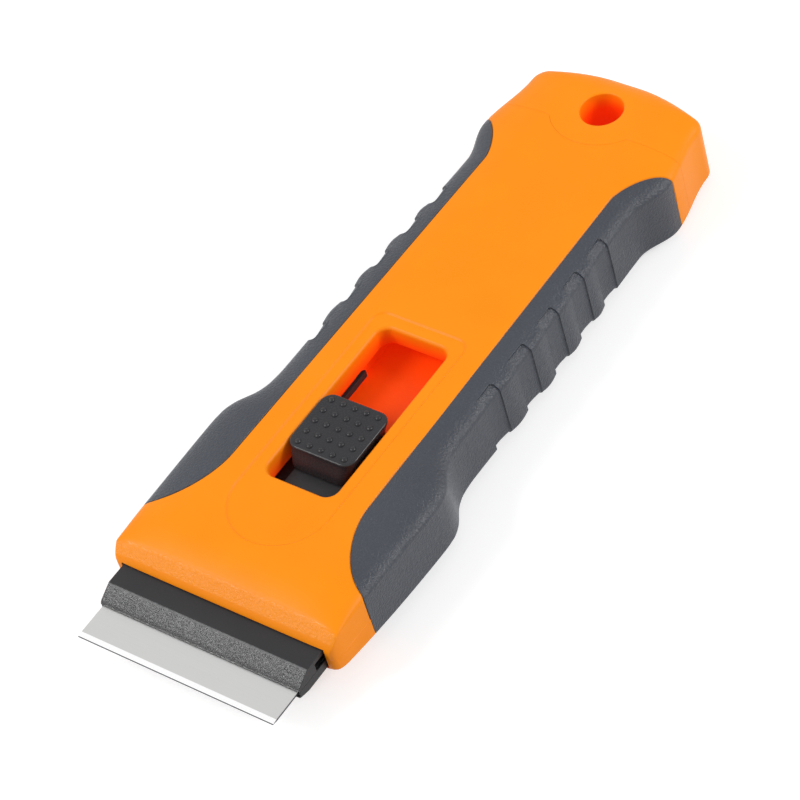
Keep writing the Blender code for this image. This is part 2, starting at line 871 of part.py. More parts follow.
def add_lower_jaw():
    name = "lower_jaw"
    top = blade_height - blade_thickness / 2 - clearance
    floor = lower_jaw_floor
    ear_front = jaw_rear_place + clearance
    ear_rear = ear_front + jaw_hinge_length
    profile = [(lower_jaw_place, top),
               (lower_jaw_place, top - lower_jaw_tip_thickness / 2),
               (lower_jaw_place + lower_jaw_tip_thickness / 2, top - lower_jaw_tip_thickness),
               (lower_jaw_place + lower_jaw_tip_length, floor),
               (ear_rear, floor),
               (ear_rear, jaw_top_height),
               (ear_front, jaw_top_height),
               (ear_front, top)]
    jaw = place_piece(name, loft_mesh(name, along_x(profile, jaw_half_width)),
                      slider_plastic(name), slider_slide)
    between_ears = place_cutter("between_ears", box_mesh(
        "between_ears", (jaw_ear_width - jaw_half_width, jaw_rear_place, floor - overrun),
        (jaw_half_width - jaw_ear_width, ear_rear + overrun, jaw_top_height + overrun)))
    peg_hole = place_cutter("jaw_peg_hole", plate_mesh(
        "peg_hole", slot_outline(blade_slot_length, blade_slot_width, blade_slot_setback),
        floor - overrun, top + overrun))
    cut(jaw, between_ears, peg_hole)
    for handed, side in (("left", -1), ("right", 1)):
        bore = place_cutter(f"jaw_ear_bore_{handed}", cylinder_mesh(
            "ear_bore", (side * (jaw_half_width - jaw_ear_width / 2), *hinge_centre()),
            jaw_hinge_pin_radius + clearance, jaw_ear_width + overrun, "X", 16))
        cut(jaw, bore)
    return jaw


def hinge_centre():
    return (jaw_rear_place + clearance + jaw_hinge_length / 2,
            (lower_jaw_floor + jaw_top_height) / 2)


def add_hinge_pins():
    for handed, side in (("left", -1), ("right", 1)):
        name = f"jaw_pin_{handed}"
        middle = side * (jaw_half_width - clearance - jaw_hinge_pin_length / 2)
        place_piece(name, cylinder_mesh(name, (middle, *hinge_centre()), jaw_hinge_pin_radius,
                                        jaw_hinge_pin_length, "X", 16),
                    screw_steel(name), slider_slide)


# Blade carrier with its flexible click arms

def arm_floor():
    return body_height - window_wall - clearance - arm_height


def add_carrier():
    name = "blade_carrier"
    floor = carrier_floor()
    top = body_height - carrier_top_drop
    head_half = jaw_half_width - jaw_ear_width - clearance
    head_front = jaw_rear_place + clearance
    head_rear = head_front + jaw_hinge_length
    carrier = place_piece(name, box_mesh(
        name, (-carrier_half_width, head_rear - 2 * jaw_hinge_pin_radius, floor),
        (carrier_half_width, carrier_rear, top)), slider_plastic(name), slider_slide)
    head = place_cutter("carrier_head", box_mesh(
        "carrier_head", (-head_half, head_front, lower_jaw_floor),
        (head_half, head_rear, jaw_top_height)))
    wings = place_cutter("carrier_wings", box_mesh(
        "wings", (-carrier_wing_half_width, head_rear - jaw_hinge_pin_radius, floor),
        (carrier_wing_half_width, carrier_rear - carrier_wing_thickness,
         floor + carrier_wing_thickness)))
    join(carrier, head, wings)
    for handed, side in (("left", -1), ("right", 1)):
        bore = place_cutter(f"carrier_bore_{handed}", cylinder_mesh(
            "carrier_bore",
            (side * (jaw_half_width - clearance - jaw_hinge_pin_length / 2), *hinge_centre()),
            jaw_hinge_pin_radius + clearance, jaw_hinge_pin_length + 2 * clearance, "X", 16))
        cut(carrier, bore)
        join(carrier, place_cutter(f"carrier_arm_{handed}", arm_mesh(side)))
    return carrier


def arm_mesh(side):
    """A click arm: it leaves the carrier, runs back along the wall and ends in a nose."""
    inner = arm_half_width - arm_width
    root = carrier_rear - 2 * arm_width
    tip = arm_rear - arm_tip_length
    outline = [(carrier_half_width - arm_width, root - arm_width),
               (arm_half_width, root - arm_width),
               (arm_half_width, tip),
               (arm_half_width + arm_tip_reach, tip + arm_tip_length / 3),
               (arm_half_width + arm_tip_reach, tip + arm_tip_length * 2 / 3),
               (arm_half_width, arm_rear),
               (inner, arm_rear),
               (inner, root + arm_width),
               (carrier_half_width - arm_width, root)]
    outline = [(side * x, y) for x, y in outline]
    return plate_mesh("arm", outline, arm_floor(), arm_floor() + arm_height)


# Thumb button with its rows of small domes

def add_button():
    name = "thumb_button"
    rear = button_front + button_length
    foot = body_height - carrier_top_drop + clearance
    top = body_height + button_proud
    levels = [
        (foot, button_foot_half_width, button_front - button_foot_reach,
         rear - button_foot_setback),
        ((foot + top) / 2, (button_foot_half_width + button_half_width) / 2 - button_edge_round,
         button_front - button_foot_reach / 2, rear - button_foot_setback / 2),
        (top - 2 * button_edge_round, button_half_width, button_front, rear),
        (top - button_edge_round / 2, button_half_width - button_edge_round / 4,
         button_front + button_edge_round / 4, rear - button_edge_round / 4),
        (top, button_half_width - button_edge_round, button_front + button_edge_round,
         rear - button_edge_round),
    ]
    sections = []
    for height, half, front, back in levels:
        outline = rounded_rectangle(half, front, back, button_corner_radius, 5)
        sections.append([Vector((x, y, height)) for x, y in outline])
    button = place_piece(name, loft_mesh(name, sections), slider_plastic(name), slider_slide)
    pitch_x = 2 * (button_half_width - button_corner_radius / 2 - dome_radius) / (dome_count - 1)
    pitch_y = (button_length - button_corner_radius - 2 * dome_radius) / (dome_count - 1)
    middle = button_front + button_length / 2
    shape = bmesh.new()
    for row in range(dome_count):
        for column in range(dome_count):
            x = (column - (dome_count - 1) / 2) * pitch_x
            y = middle + (row - (dome_count - 1) / 2) * pitch_y
            squash = Matrix.Diagonal((dome_radius, dome_radius, dome_rise, 1))
            bmesh.ops.create_uvsphere(shape, u_segments=8, v_segments=6, radius=1,
                                      matrix=Matrix.Translation((x, y, top)) @ squash)
    join(button, place_cutter("button_domes", finish_mesh(shape, "domes")))


# Magazine, its door and the end cap

def add_magazine():
    name = "blade_magazine"
    tray = place_piece(name, box_mesh(
        name, (-tray_half_width, tray_front, tray_floor_height),
        (tray_half_width, tray_rear, tray_top_height)), orange_plastic(name), magazine_slide)
    well_floor = tray_floor_height + tray_wall
    well = place_cutter("magazine_well", box_mesh(
        "well", (-tray_half_width + tray_side_wall, tray_front - overrun, well_floor),
        (tray_half_width - tray_side_wall, tray_rear - tray_rear_wall,
         well_floor + spare_stack_height + 2 * clearance)))
    latch = place_cutter("latch_hole", box_mesh(
        "latch", (-latch_hole_width / 2, latch_hole_place - latch_hole_length / 2,
                  well_floor + spare_stack_height),
        (latch_hole_width / 2, latch_hole_place + latch_hole_length / 2,
         tray_top_height + overrun)))
    hook_bed = place_cutter("hook_bed", box_mesh(
        "hook_bed", (tray_half_width - door_hook_thickness - clearance, tray_front - overrun,
                     door_floor() - clearance),
        (tray_half_width + overrun, tray_front + door_hook_length + clearance,
         door_floor() + door_height + clearance)))
    cut(tray, well, latch, hook_bed)


def door_floor():
    return (tray_floor_height + tray_top_height - door_height) / 2


def add_door():
    """A strap across the tray's open front, hooked round its right wall."""
    name = "magazine_door"
    rear = tray_front - clearance
    door = place_piece(name, box_mesh(
        name, (-tray_half_width, rear - door_thickness, door_floor()),
        (tray_half_width, rear, door_floor() + door_height)), orange_plastic(name),
        magazine_slide)
    hook = place_cutter("door_hook", box_mesh(
        "hook", (tray_half_width - door_hook_thickness, rear - door_thickness / 2, door_floor()),
        (tray_half_width, tray_front + door_hook_length, door_floor() + door_height)))
    join(door, hook)


def add_end_cap():
    name = "end_cap"
    front = [bulge_place, (bulge_place + split_place) / 2]
    cap = place_piece(name, cap_mesh(name, front + cap_places), orange_plastic(name),
                      magazine_slide)
    side = bulge_half_width + overrun
    before_split = place_cutter("before_split", box_mesh(
        "before_split", (-side, bulge_place - overrun, -overrun),
        (side, split_place + clearance, body_height + overrun)))
    lobe = place_cutter("cap_lobe", plate_mesh(
        "cap_lobe", lobe_outline(lobe_radius), tray_top_height + clearance,
        body_height + 2 * overrun))
    cut(before_split, lobe)
    cut(cap, before_split)
    roof = tray_top_height + clearance
    for handed, side in (("left", -1), ("right", 1)):
        inner = side * (tray_half_width + clearance)
        outer = side * (half_width(cap_place) - cap_wall)
        hollow = place_cutter(f"cap_hollow_{handed}", box_mesh(
            "hollow", (min(inner, outer), split_place - overrun, cap_wall),
            (max(inner, outer), cap_place, roof)))
        cut(cap, hollow)
    plug = place_cutter("cap_plug", box_mesh(
        "plug", (-tray_half_width, tray_rear + clearance, tray_floor_height),
        (tray_half_width, split_place + overrun, tray_top_height)))
    join(cap, plug)
    hole = place_cutter("hanging_hole", cylinder_mesh(
        "hole", (0, hanging_hole_place, body_height / 2), hanging_hole_radius,
        body_height + overrun, segments=32))
    cut(cap, hole)


def cap_mesh(name, places):
    """Whole sections of the housing, from the underside to the top face."""
    sections = []
    for place in places:
        upper = half_section(place, True)[1:-1]
        lower = half_section(place, False)[1:-1]
        sections.append(upper + list(reversed(lower)))
    return loft_mesh(name, sections)


recess_cutters = add_grips()
hollow_cutters = add_shell_hollows()
add_top_shell(recess_cutters[True], hollow_cutters[True])
add_bottom_shell(recess_cutters[False], hollow_cutters[False])
add_screws()
add_blade()
add_upper_jaw()
add_lower_jaw()
add_hinge_pins()
add_carrier()
add_button()
add_magazine()
add_door()
add_spare_blades()
add_end_cap()
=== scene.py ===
import math

import bmesh
import bpy
from mathutils import Matrix, Vector


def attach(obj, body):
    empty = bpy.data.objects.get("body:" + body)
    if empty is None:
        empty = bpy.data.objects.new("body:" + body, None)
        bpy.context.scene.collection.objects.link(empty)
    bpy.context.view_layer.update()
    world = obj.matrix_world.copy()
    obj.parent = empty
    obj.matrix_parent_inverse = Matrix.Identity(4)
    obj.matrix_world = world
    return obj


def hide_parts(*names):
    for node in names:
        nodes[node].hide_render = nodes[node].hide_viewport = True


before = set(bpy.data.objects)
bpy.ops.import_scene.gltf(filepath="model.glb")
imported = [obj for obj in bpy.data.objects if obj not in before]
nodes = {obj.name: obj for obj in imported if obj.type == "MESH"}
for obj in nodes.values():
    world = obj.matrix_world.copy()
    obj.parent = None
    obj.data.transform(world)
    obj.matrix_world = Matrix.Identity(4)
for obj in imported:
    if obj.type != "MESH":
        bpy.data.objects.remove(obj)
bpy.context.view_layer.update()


# Bottom shell: the lower half of the housing, injection moulded in orange ABS
# with a fine spark grain. It carries the deck that the slider runs on and is
# screwed to the top shell from below.

# Sizes are in millimetres. A place is a distance back from the cutting edge.
mm = 0.001
middle_place = 69.0
mouth_place = 13.9
crease_place = 16.45
top_start_place = 24.6
head_end_place = 43.0
waist_place = 58.0
flare_place = 111.5
split_place = 125.0
cap_corner_place = 132.6
cap_end_place = 135.2
total_length = 138.0
body_height = 14.6
parting_height = 7.2
parting_gap = 0.006
joint_round = 0.03
head_half_width = 22.6
cap_half_width = 17.4
cap_end_half_width = 15.7
width_line = [(18.4, head_half_width), (head_end_place, 22.9), (45.8, 22.7), (48.0, 22.0),
              (52.0, 19.55), (54.5, 18.8), (waist_place, 18.5), (80.0, 18.35),
              (flare_place, 17.1), (120.0, 19.35), (cap_corner_place, cap_half_width)]
belly_line = [(mouth_place, 1.4), (46.5, 2.8), (80.0, 2.3), (flare_place, 2.3), (120.0, 1.5)]


def smooth_line(points, place):
    """Read a smooth line through (place, value) points without overshoot."""
    if place <= points[0][0]:
        return points[0][1]
    if place >= points[-1][0]:
        return points[-1][1]
    slopes = [(b[1] - a[1]) / (b[0] - a[0]) for a, b in zip(points, points[1:])]
    tangents = [0.0]
    for before, after in zip(slopes, slopes[1:]):
        tangents.append(2 * before * after / (before + after) if before * after > 0 else 0.0)
    tangents.append(0.0)
    index = max(i for i in range(len(slopes)) if points[i][0] <= place)
    (start, low), (end, high) = points[index], points[index + 1]
    t = (place - start) / (end - start)
    return (low * (2 * t**3 - 3 * t**2 + 1) + high * (3 * t**2 - 2 * t**3) + (end - start)
            * (tangents[index] * (t**3 - 2 * t**2 + t) + tangents[index + 1] * (t**3 - t**2)))


def round_off(share, power=2.0):
    return 1 - (1 - min(max(share, 0.0), 1.0) ** power) ** (1 / power)


mouth_edge = 0.9
mouth_edge_side, mouth_edge_top, mouth_edge_belly = 0.2, 0.6, 0.42
mouth_corner, mouth_corner_draw = 2.6, 1.0
cap_corner, cap_corner_draw = 2.6, 1.7
cap_end_length = 2.8
rear_edge, rear_fall_top, rear_rise_belly = 4.5, 2.4, 1.5
mouth_fall, crease_fall, crease_curve = 4.5, 1.66, 7.8
nose_rise, nose_length = 3.6, 36.1
flat_share = 0.42
top_edge, least_head_edge, least_top_edge, least_belly_edge = 2.8, 0.7, 0.12, 0.08
top_edge_power = 2.4


def mouth_round(place):
    """The rounded edge all round the mouth."""
    return round_off(1 - (place - mouth_place) / mouth_edge)


def half_width(place):
    corner = (place - mouth_place) / mouth_corner
    if corner < 1:
        drawn_in = mouth_corner_draw * round_off(1 - corner)
        return head_half_width - drawn_in - mouth_edge_side * mouth_round(place)
    if place > cap_end_place:
        left_over = max(total_length - place, 0.0)
        return cap_end_half_width * math.sqrt(left_over / cap_end_length)
    if place > cap_corner_place:
        return cap_half_width - cap_corner_draw * round_off((place - cap_corner_place) / cap_corner)
    return smooth_line(width_line, place)


def rear_round(place):
    return round_off(1 - (total_length - place) / rear_edge)


def bevel_fall(place):
    """Fall of the top face towards the mouth: a plane bevel, then a gentle curve to the top."""
    if place < crease_place:
        return (crease_fall + (mouth_fall - crease_fall) * (crease_place - place)
                / (crease_place - mouth_place))
    return crease_fall * max(0.0, 1 - (place - crease_place) / crease_curve) ** 2


def skin_point(place, share, upper, inset=0.0):
    """A point of the housing's outer form. Beyond a share of 1 the side wall runs to the joint."""
    width = half_width(place) - inset
    over = max(0.0, min(abs(share), 1.0) - flat_share) / (1 - flat_share)
    if upper:
        fall = bevel_fall(place) + rear_fall_top * rear_round(place)
        edge = max(top_edge - fall, least_head_edge if place < head_end_place else least_top_edge)
        height = body_height - fall - edge * round_off(over, top_edge_power)
        height -= inset + mouth_edge_top * mouth_round(place)
        joint = parting_height + parting_gap + joint_round
    else:
        rear_rise = rear_rise_belly * rear_round(place)
        rise = nose_rise * max(0.0, 1 - (place - mouth_place) / nose_length) ** 2 + rear_rise
        edge = max(smooth_line(belly_line, place) - rear_rise, least_belly_edge)
        height = rise + edge * round_off(over) + inset + mouth_edge_belly * mouth_round(place)
        joint = parting_height - parting_gap - joint_round
    height += (joint - height) * min(max(abs(share) - 1, 0.0), 1.0)
    return math.copysign(width * min(abs(share), 1.0), share), height


def spread(first, last, pitch):
    """Even steps from first up to, but without, last."""
    count = max(1, round((last - first) / pitch))
    return [first + (last - first) * step / count for step in range(count)]


rim_weld = 0.0001


def close_at_joint(shape, upper, beyond=0.0):
    """Draw the open rim of a bent grid straight to the joint, round its edge and close it."""
    out = 1 if upper else -1
    joint = parting_height + out * (parting_gap - beyond)
    for level, inset in ((joint + out * joint_round, 0.0), (joint, joint_round)):
        rim = [edge for edge in shape.edges if edge.is_boundary]
        wall = bmesh.ops.extrude_edge_only(shape, edges=rim)["geom"]
        for vertex in wall:
            if isinstance(vertex, bmesh.types.BMVert):
                vertex.co.z = level * mm
                vertex.co.x -= math.copysign(inset * mm, vertex.co.x)
        bmesh.ops.remove_doubles(shape, verts=shape.verts, dist=rim_weld * mm)
    bmesh.ops.contextual_create(shape, geom=[e for e in shape.edges if e.is_boundary])
    bmesh.ops.recalc_face_normals(shape, faces=shape.faces)
    return shape


def housing_half(places, upper, columns=64, inset=0.0, beyond=0.0, end_inset=0.0):
    """Half of the housing as a closed block: a grid bent to the section and closed at the
    joint, or beyond it."""
    shape = bmesh.new()
    rows = len(places) - 1
    bmesh.ops.create_grid(shape, x_segments=columns, y_segments=rows, size=1.0)
    for vertex in shape.verts:
        row = round((vertex.co.y + 1) / 2 * rows)
        depth = inset + (end_inset if row == rows else 0.0)
        x, z = skin_point(places[row], math.sin(vertex.co.x * math.pi / 2), upper, depth)
        vertex.co = Vector((x, places[row] - middle_place, z)) * mm
    return close_at_joint(shape, upper, beyond)


def stacked(loops):
    """A closed block through a stack of loops of (x, place, height) points."""
    shape = bmesh.new()
    rings = []
    for loop in loops:
        ring = [shape.verts.new(Vector((x, y - middle_place, z)) * mm) for x, y, z in loop]
        rings.append([shape.edges.new(pair) for pair in zip(ring, ring[1:] + ring[:1])])
    for first, second in zip(rings, rings[1:]):
        bmesh.ops.bridge_loops(shape, edges=first + second)
    for ring in (rings[0], rings[-1]):
        bmesh.ops.contextual_create(shape, geom=ring)
    bmesh.ops.recalc_face_normals(shape, faces=shape.faces)
    return shape


def plan_block(outline, low, high):
    return stacked([[(x, y, z) for x, y in outline] for z in (low, high)])


def rectangle(left, right, front, rear):
    return [(left, front), (right, front), (right, rear), (left, rear)]


def circle(x, place, radius, steps=32):
    turns = [2 * math.pi * step / steps for step in range(steps)]
    return [(x + radius * math.cos(a), place + radius * math.sin(a)) for a in turns]


def mesh_from(shape, name):
    mesh = bpy.data.meshes.new(name)
    shape.to_mesh(mesh)
    shape.free()
    return mesh


cut_weld, cad_weld = 0.003, 0.002


def carve(shape, steps):
    """Cut, join or keep a shape with others, exactly, and give back the result. Leftover
    points on nearly straight edges go, because faces would fold there."""
    target = bpy.data.objects.new("blank", mesh_from(shape, "blank"))
    bpy.context.scene.collection.objects.link(target)
    tools = [target]
    for operation, other in steps:
        tool = bpy.data.objects.new("tool", mesh_from(other, "tool"))
        bpy.context.scene.collection.objects.link(tool)
        tools.append(tool)
        modifier = target.modifiers.new("carve", "BOOLEAN")
        modifier.operation = operation
        modifier.solver = "EXACT"
        modifier.object = tool
    bpy.context.view_layer.update()
    evaluated = target.evaluated_get(bpy.context.evaluated_depsgraph_get())
    result = bmesh.new()
    result.from_mesh(bpy.data.meshes.new_from_object(evaluated))
    for tool in tools:
        bpy.data.objects.remove(tool, do_unlink=True)
    bmesh.ops.remove_doubles(result, verts=result.verts, dist=cut_weld * mm)
    straight = [vertex for vertex in result.verts
                if vertex.calc_edge_angle(math.pi) < math.radians(5)]
    bmesh.ops.dissolve_verts(result, verts=straight)
    return result


def finished(shape, name, node, body, material, rounding=0.0, sharp=30):
    """Put a finished piece in place of its node; edges can be rounded as a mould leaves them."""
    for face in shape.faces:
        face.smooth = True
    for edge in shape.edges:
        edge.smooth = edge.calc_face_angle(0.0) < math.radians(sharp)
    mesh = mesh_from(shape, name)
    piece = bpy.data.objects.new(name, mesh)
    bpy.context.scene.collection.objects.link(piece)
    mesh.materials.append(material)
    if rounding:
        bevel = piece.modifiers.new("rounded_edges", "BEVEL")
        bevel.width = rounding * mm
        bevel.segments = 3
        bevel.limit_method = "ANGLE"
        bevel.angle_limit = math.radians(25)
        bevel.harden_normals = True
    else:
        even = piece.modifiers.new("even_shading", "WEIGHTED_NORMAL")
        even.weight = 60
        even.keep_sharp = True
    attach(piece, body)
    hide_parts(node)
    return piece


# Heights over which the painted shade and glow of a recess come in, in full at the lower one.
recess_top, recess_bottom = 14.25, 11.0


def moulded_plastic(name, colour, deeper, roughness, grain, grain_depth, level=0.5,
                    painted_deep_tone=None):
    """Moulded plastic: a spark-eroded grain that also sways the gloss, and a slow trace of colour
    drift.
    An optional colour for recesses paints shade and glow there: lower down the colour turns to it,
    and the plastic gives off a faint red glow, in place of light that passed the plastic and
    bounced inside."""
    material = bpy.data.materials.new(name)
    material.use_nodes = True
    tree = material.node_tree
    link = tree.links.new
    shader = tree.nodes["Principled BSDF"]
    shader.inputs["Specular IOR Level"].default_value = level
    place = tree.nodes.new("ShaderNodeTexCoord")
    fine = tree.nodes.new("ShaderNodeTexNoise")
    fine.inputs["Scale"].default_value = grain
    fine.inputs["Detail"].default_value = 3.0
    fine.inputs["Roughness"].default_value = 0.6
    slow = tree.nodes.new("ShaderNodeTexNoise")
    slow.inputs["Scale"].default_value = 90.0
    slow.inputs["Detail"].default_value = 4.0
    link(place.outputs["Object"], fine.inputs["Vector"])
    link(place.outputs["Object"], slow.inputs["Vector"])
    drift = tree.nodes.new("ShaderNodeMapRange")
    drift.inputs["From Min"].default_value = 0.35
    drift.inputs["From Max"].default_value = 0.65
    link(slow.outputs["Fac"], drift.inputs["Value"])
    blend = tree.nodes.new("ShaderNodeMix")
    blend.data_type = "RGBA"
    blend.inputs["A"].default_value = (*colour, 1.0)
    blend.inputs["B"].default_value = (*deeper, 1.0)
    link(drift.outputs["Result"], blend.inputs["Factor"])
    link(blend.outputs["Result"], shader.inputs["Base Color"])
    # Painted shade: lower down the colour turns to the redder recess tone.
    if painted_deep_tone:
        split = tree.nodes.new("ShaderNodeSeparateXYZ")
        depth = tree.nodes.new("ShaderNodeMapRange")
        depth.inputs["From Min"].default_value = recess_top * mm
        depth.inputs["From Max"].default_value = recess_bottom * mm
        painted_sunk_tone = tree.nodes.new("ShaderNodeMix")
        painted_sunk_tone.data_type = "RGBA"
        painted_sunk_tone.inputs["B"].default_value = (*painted_deep_tone, 1.0)
        link(place.outputs["Object"], split.inputs["Vector"])
        link(split.outputs["Z"], depth.inputs["Value"])
        link(depth.outputs["Result"], painted_sunk_tone.inputs["Factor"])
        link(blend.outputs["Result"], painted_sunk_tone.inputs["A"])
        link(painted_sunk_tone.outputs["Result"], shader.inputs["Base Color"])
        # Painted glow: a tenth of the recess tone, given off as light, in full at the lower height.
        painted_glow = tree.nodes.new("ShaderNodeMix")
        painted_glow.data_type = "RGBA"
        painted_glow.inputs["A"].default_value = (0.0, 0.0, 0.0, 1.0)
        painted_glow.inputs["B"].default_value = (*[0.1 * c for c in painted_deep_tone], 1.0)
        link(depth.outputs["Result"], painted_glow.inputs["Factor"])
        link(painted_glow.outputs["Result"], shader.inputs["Emission Color"])
        shader.inputs["Emission Strength"].default_value = 1.0
    gloss = tree.nodes.new("ShaderNodeMapRange")
    gloss.inputs["From Min"].default_value = 0.3
    gloss.inputs["From Max"].default_value = 0.7
    gloss.inputs["To Min"].default_value = roughness - 0.05
    gloss.inputs["To Max"].default_value = roughness + 0.06
    link(fine.outputs["Fac"], gloss.inputs["Value"])
    link(gloss.outputs["Result"], shader.inputs["Roughness"])
    bump = tree.nodes.new("ShaderNodeBump")
    bump.inputs["Strength"].default_value = 0.7
    bump.inputs["Distance"].default_value = grain_depth * mm
    link(fine.outputs["Fac"], bump.inputs["Height"])
    link(bump.outputs["Normal"], shader.inputs["Normal"])
    return material


orange_finish = {"colour": (1.0, 0.285, 0.004), "deeper": (0.98, 0.272, 0.003),
                 "roughness": 0.40, "grain": 3000.0, "grain_depth": 0.024, "level": 0.17}
orange = moulded_plastic("orange_plastic_moulded", **orange_finish)
# The same orange with painted shade and a painted red glow, for the insides of recesses.
sunk_orange_painted_glow = moulded_plastic("orange_plastic_sunk_painted_glow", **orange_finish, painted_deep_tone=(1.0, 0.08, 0.003))
# The bevel's coarse grain, in an orange a little yellower than the rest: painted light on the
# bevel.
coarse_orange_painted_lit = moulded_plastic("orange_plastic_coarse_painted_lit", colour=(1.0, 0.30, 0.004),
                                deeper=(0.98, 0.285, 0.003), roughness=0.25, grain=2100.0,
                                grain_depth=0.20, level=0.30)

mouth_rows = [mouth_place + mouth_edge * (1 - math.cos(math.pi / 2 * s / 7)) for s in range(7)]
housing_places = (mouth_rows + spread(mouth_place + mouth_edge, crease_place, 0.4)
                  + spread(crease_place, top_start_place, 0.55)
                  + spread(top_start_place, head_end_place, 2.0)
                  + spread(head_end_place, waist_place, 0.5)
                  + spread(waist_place, flare_place, 2.5)
                  + spread(flare_place, split_place - 0.12, 0.8)
                  + [split_place - joint_round, split_place])

grip_front, grip_rear = 23.6, 121.3
front_sweep = {"x": 23.5, "reach": 9.6, "place": 37.8, "length": 14.2, "power": 1.7}
rear_sweep = {"x": 19.5, "reach": 6.45, "place": 112.0, "length": -9.3, "power": 1.5}
sweep_steps = 24
beyond_side = 26.5
seam_lip = {"top": 0.2, "bottom": 0.08}
lip_slope = 1.5
wall_clearance = 0.15
prism_middle, prism_reach = 7.5, 10.5
core_overrun = 3
bed_depth, bed_clearance = 1.3, 0.02


def skin_height(x, place, upper):
    return skin_point(place, min(abs(x) / half_width(place), 1.0), upper)[1]


def swept_end(turns, x, reach, place, length, power):
    """A grip's swept end, a quarter of a full oval. With a negative length it is the rear end."""
    return [(x - reach * math.sin(a) ** (2 / power), place - length * math.cos(a) ** (2 / power))
            for a in turns]


def seam_outline(side, grow, lip):
    """Plan outline of a grip: swept at both ends and straight between. At the side wall it
    opens, or closes, by a small lip."""
    quarter = [math.pi / 2 * step / sweep_steps for step in range(sweep_steps + 1)]
    curve = swept_end(quarter, **front_sweep) + swept_end(quarter[::-1], **rear_sweep)
    ends = []
    for place, out in ((grip_front, -1), (grip_rear, 1)):
        wall = half_width(place)
        level = place + out * grow
        flared = level + out * lip_slope * lip
        ends.append([(beyond_side, flared), (wall + abs(lip) / 2, flared),
                     (wall - abs(lip), level)])
    inner = []
    for index, (x, y) in enumerate(curve):
        wall = half_width(grip_front if y < middle_place else grip_rear)
        if x < wall - abs(lip) - wall_clearance:
            along = (Vector(curve[min(index + 1, len(curve) - 1)])
                     - Vector(curve[max(index - 1, 0)])).normalized()
            inner.append((x - along.y * grow, y + along.x * grow))
    return [(side * x, y) for x, y in ends[0] + inner + ends[1][::-1]]


def seam_prism(side, upper, grow, lip):
    """The upright block within a grip's seam. Its edge at the skin opens or closes by a lip."""
    out = 1 if upper else -1
    tight = seam_outline(side, grow, lip)
    wide = seam_outline(side, grow + lip_slope * lip, lip)
    return stacked([
        [(x, y, prism_middle - out * prism_reach) for x, y in tight],
        [(x, y, skin_height(x, y, upper) - out * abs(lip)) for x, y in tight],
        [(x, y, skin_height(x, y, upper) + out * abs(lip) / 2) for x, y in wide],
        [(x, y, prism_middle + out * prism_reach) for x, y in wide]])


def grip_core(upper, depth):
    """The housing under the grips, reaching past the joint so that no film stays there."""
    front, rear = grip_front - core_overrun, grip_rear + core_overrun
    return housing_half(spread(front, rear, 1.4) + [rear], upper, columns=48, inset=depth,
                        beyond=1.0)


def grip_bed(side, half):
    """What a grip's recess takes away from its shell."""
    upper = half == "top"
    return carve(seam_prism(side, upper, bed_clearance, seam_lip[half]),
                 [("DIFFERENCE", grip_core(upper, bed_depth))])


jaw_room_half, tray_room_half = 20.7, 11.55
jaw_room = rectangle(-jaw_room_half, jaw_room_half, 10.9, 44.3)
jaw_room_floor, jaw_room_roof = 4.8, 9.5
tray_room = rectangle(-tray_room_half, tray_room_half, 81.2, 128.0)
tray_room_floor, tray_room_roof = 4.7, 12.3
screw_spots = [(x, place) for place in (51.0, 79.0) for x in (-11.2, 11.2)]
screw_bore, bore_below, bore_above = 1.3, (2.0, 9.0), (3.4, 12.9)
head_bore, head_seat, head_rim, head_rim_start = 2.3, 3.1, 2.9, 0.25
head_recess = [(head_bore, head_seat), (head_bore, head_rim_start), (head_rim, -0.35)]
bottom = carve(housing_half(housing_places, False, end_inset=joint_round), [
    ("DIFFERENCE", grip_bed(-1, "bottom")),
    ("DIFFERENCE", grip_bed(1, "bottom")),
    ("DIFFERENCE", plan_block(jaw_room, jaw_room_floor, jaw_room_roof)),
    ("DIFFERENCE", plan_block(tray_room, tray_room_floor, tray_room_roof)),
    *[("DIFFERENCE", plan_block(circle(*spot, screw_bore), *bore_below)) for spot in screw_spots],
    *[("DIFFERENCE", stacked([[(x, y, z) for x, y in circle(*spot, radius)]
                              for radius, z in head_recess])) for spot in screw_spots]])
# Upward faces above the floor level, the deck seen through the window, take the orange with painted
# shade and a painted red glow.
floor_level = 4.5
for face in bottom.faces:
    at_floor = face.normal.z > 0.9 and face.calc_center_median().z > floor_level * mm
    face.material_index = int(at_floor)
bottom_shell = finished(bottom, "bottom_shell_moulding", "bottom_shell", "handle", orange)
bottom_shell.data.materials.append(sunk_orange_painted_glow)


# Grips: four pads of dark soft moulding, one on each side of each shell, with
# five sunk finger grooves and a leathery grain. They are moulded on.

groove_rears = [69.2, 78.7, 87.5, 96.0, 104.0]
groove_length, groove_wall, groove_corner = 4.5, 0.1, 0.7
groove_margin, groove_slope = 1.7, 3
groove_depth, groove_edge_depth, groove_edge = 0.24, 0.18, 1.3
groove_line, groove_line_width = 0.05, 0.26
land_swell, land_width = 0.2, 1.6


def ease(value):
    value = min(max(value, 0.0), 1.0)
    return value * value * (3 - 2 * value)


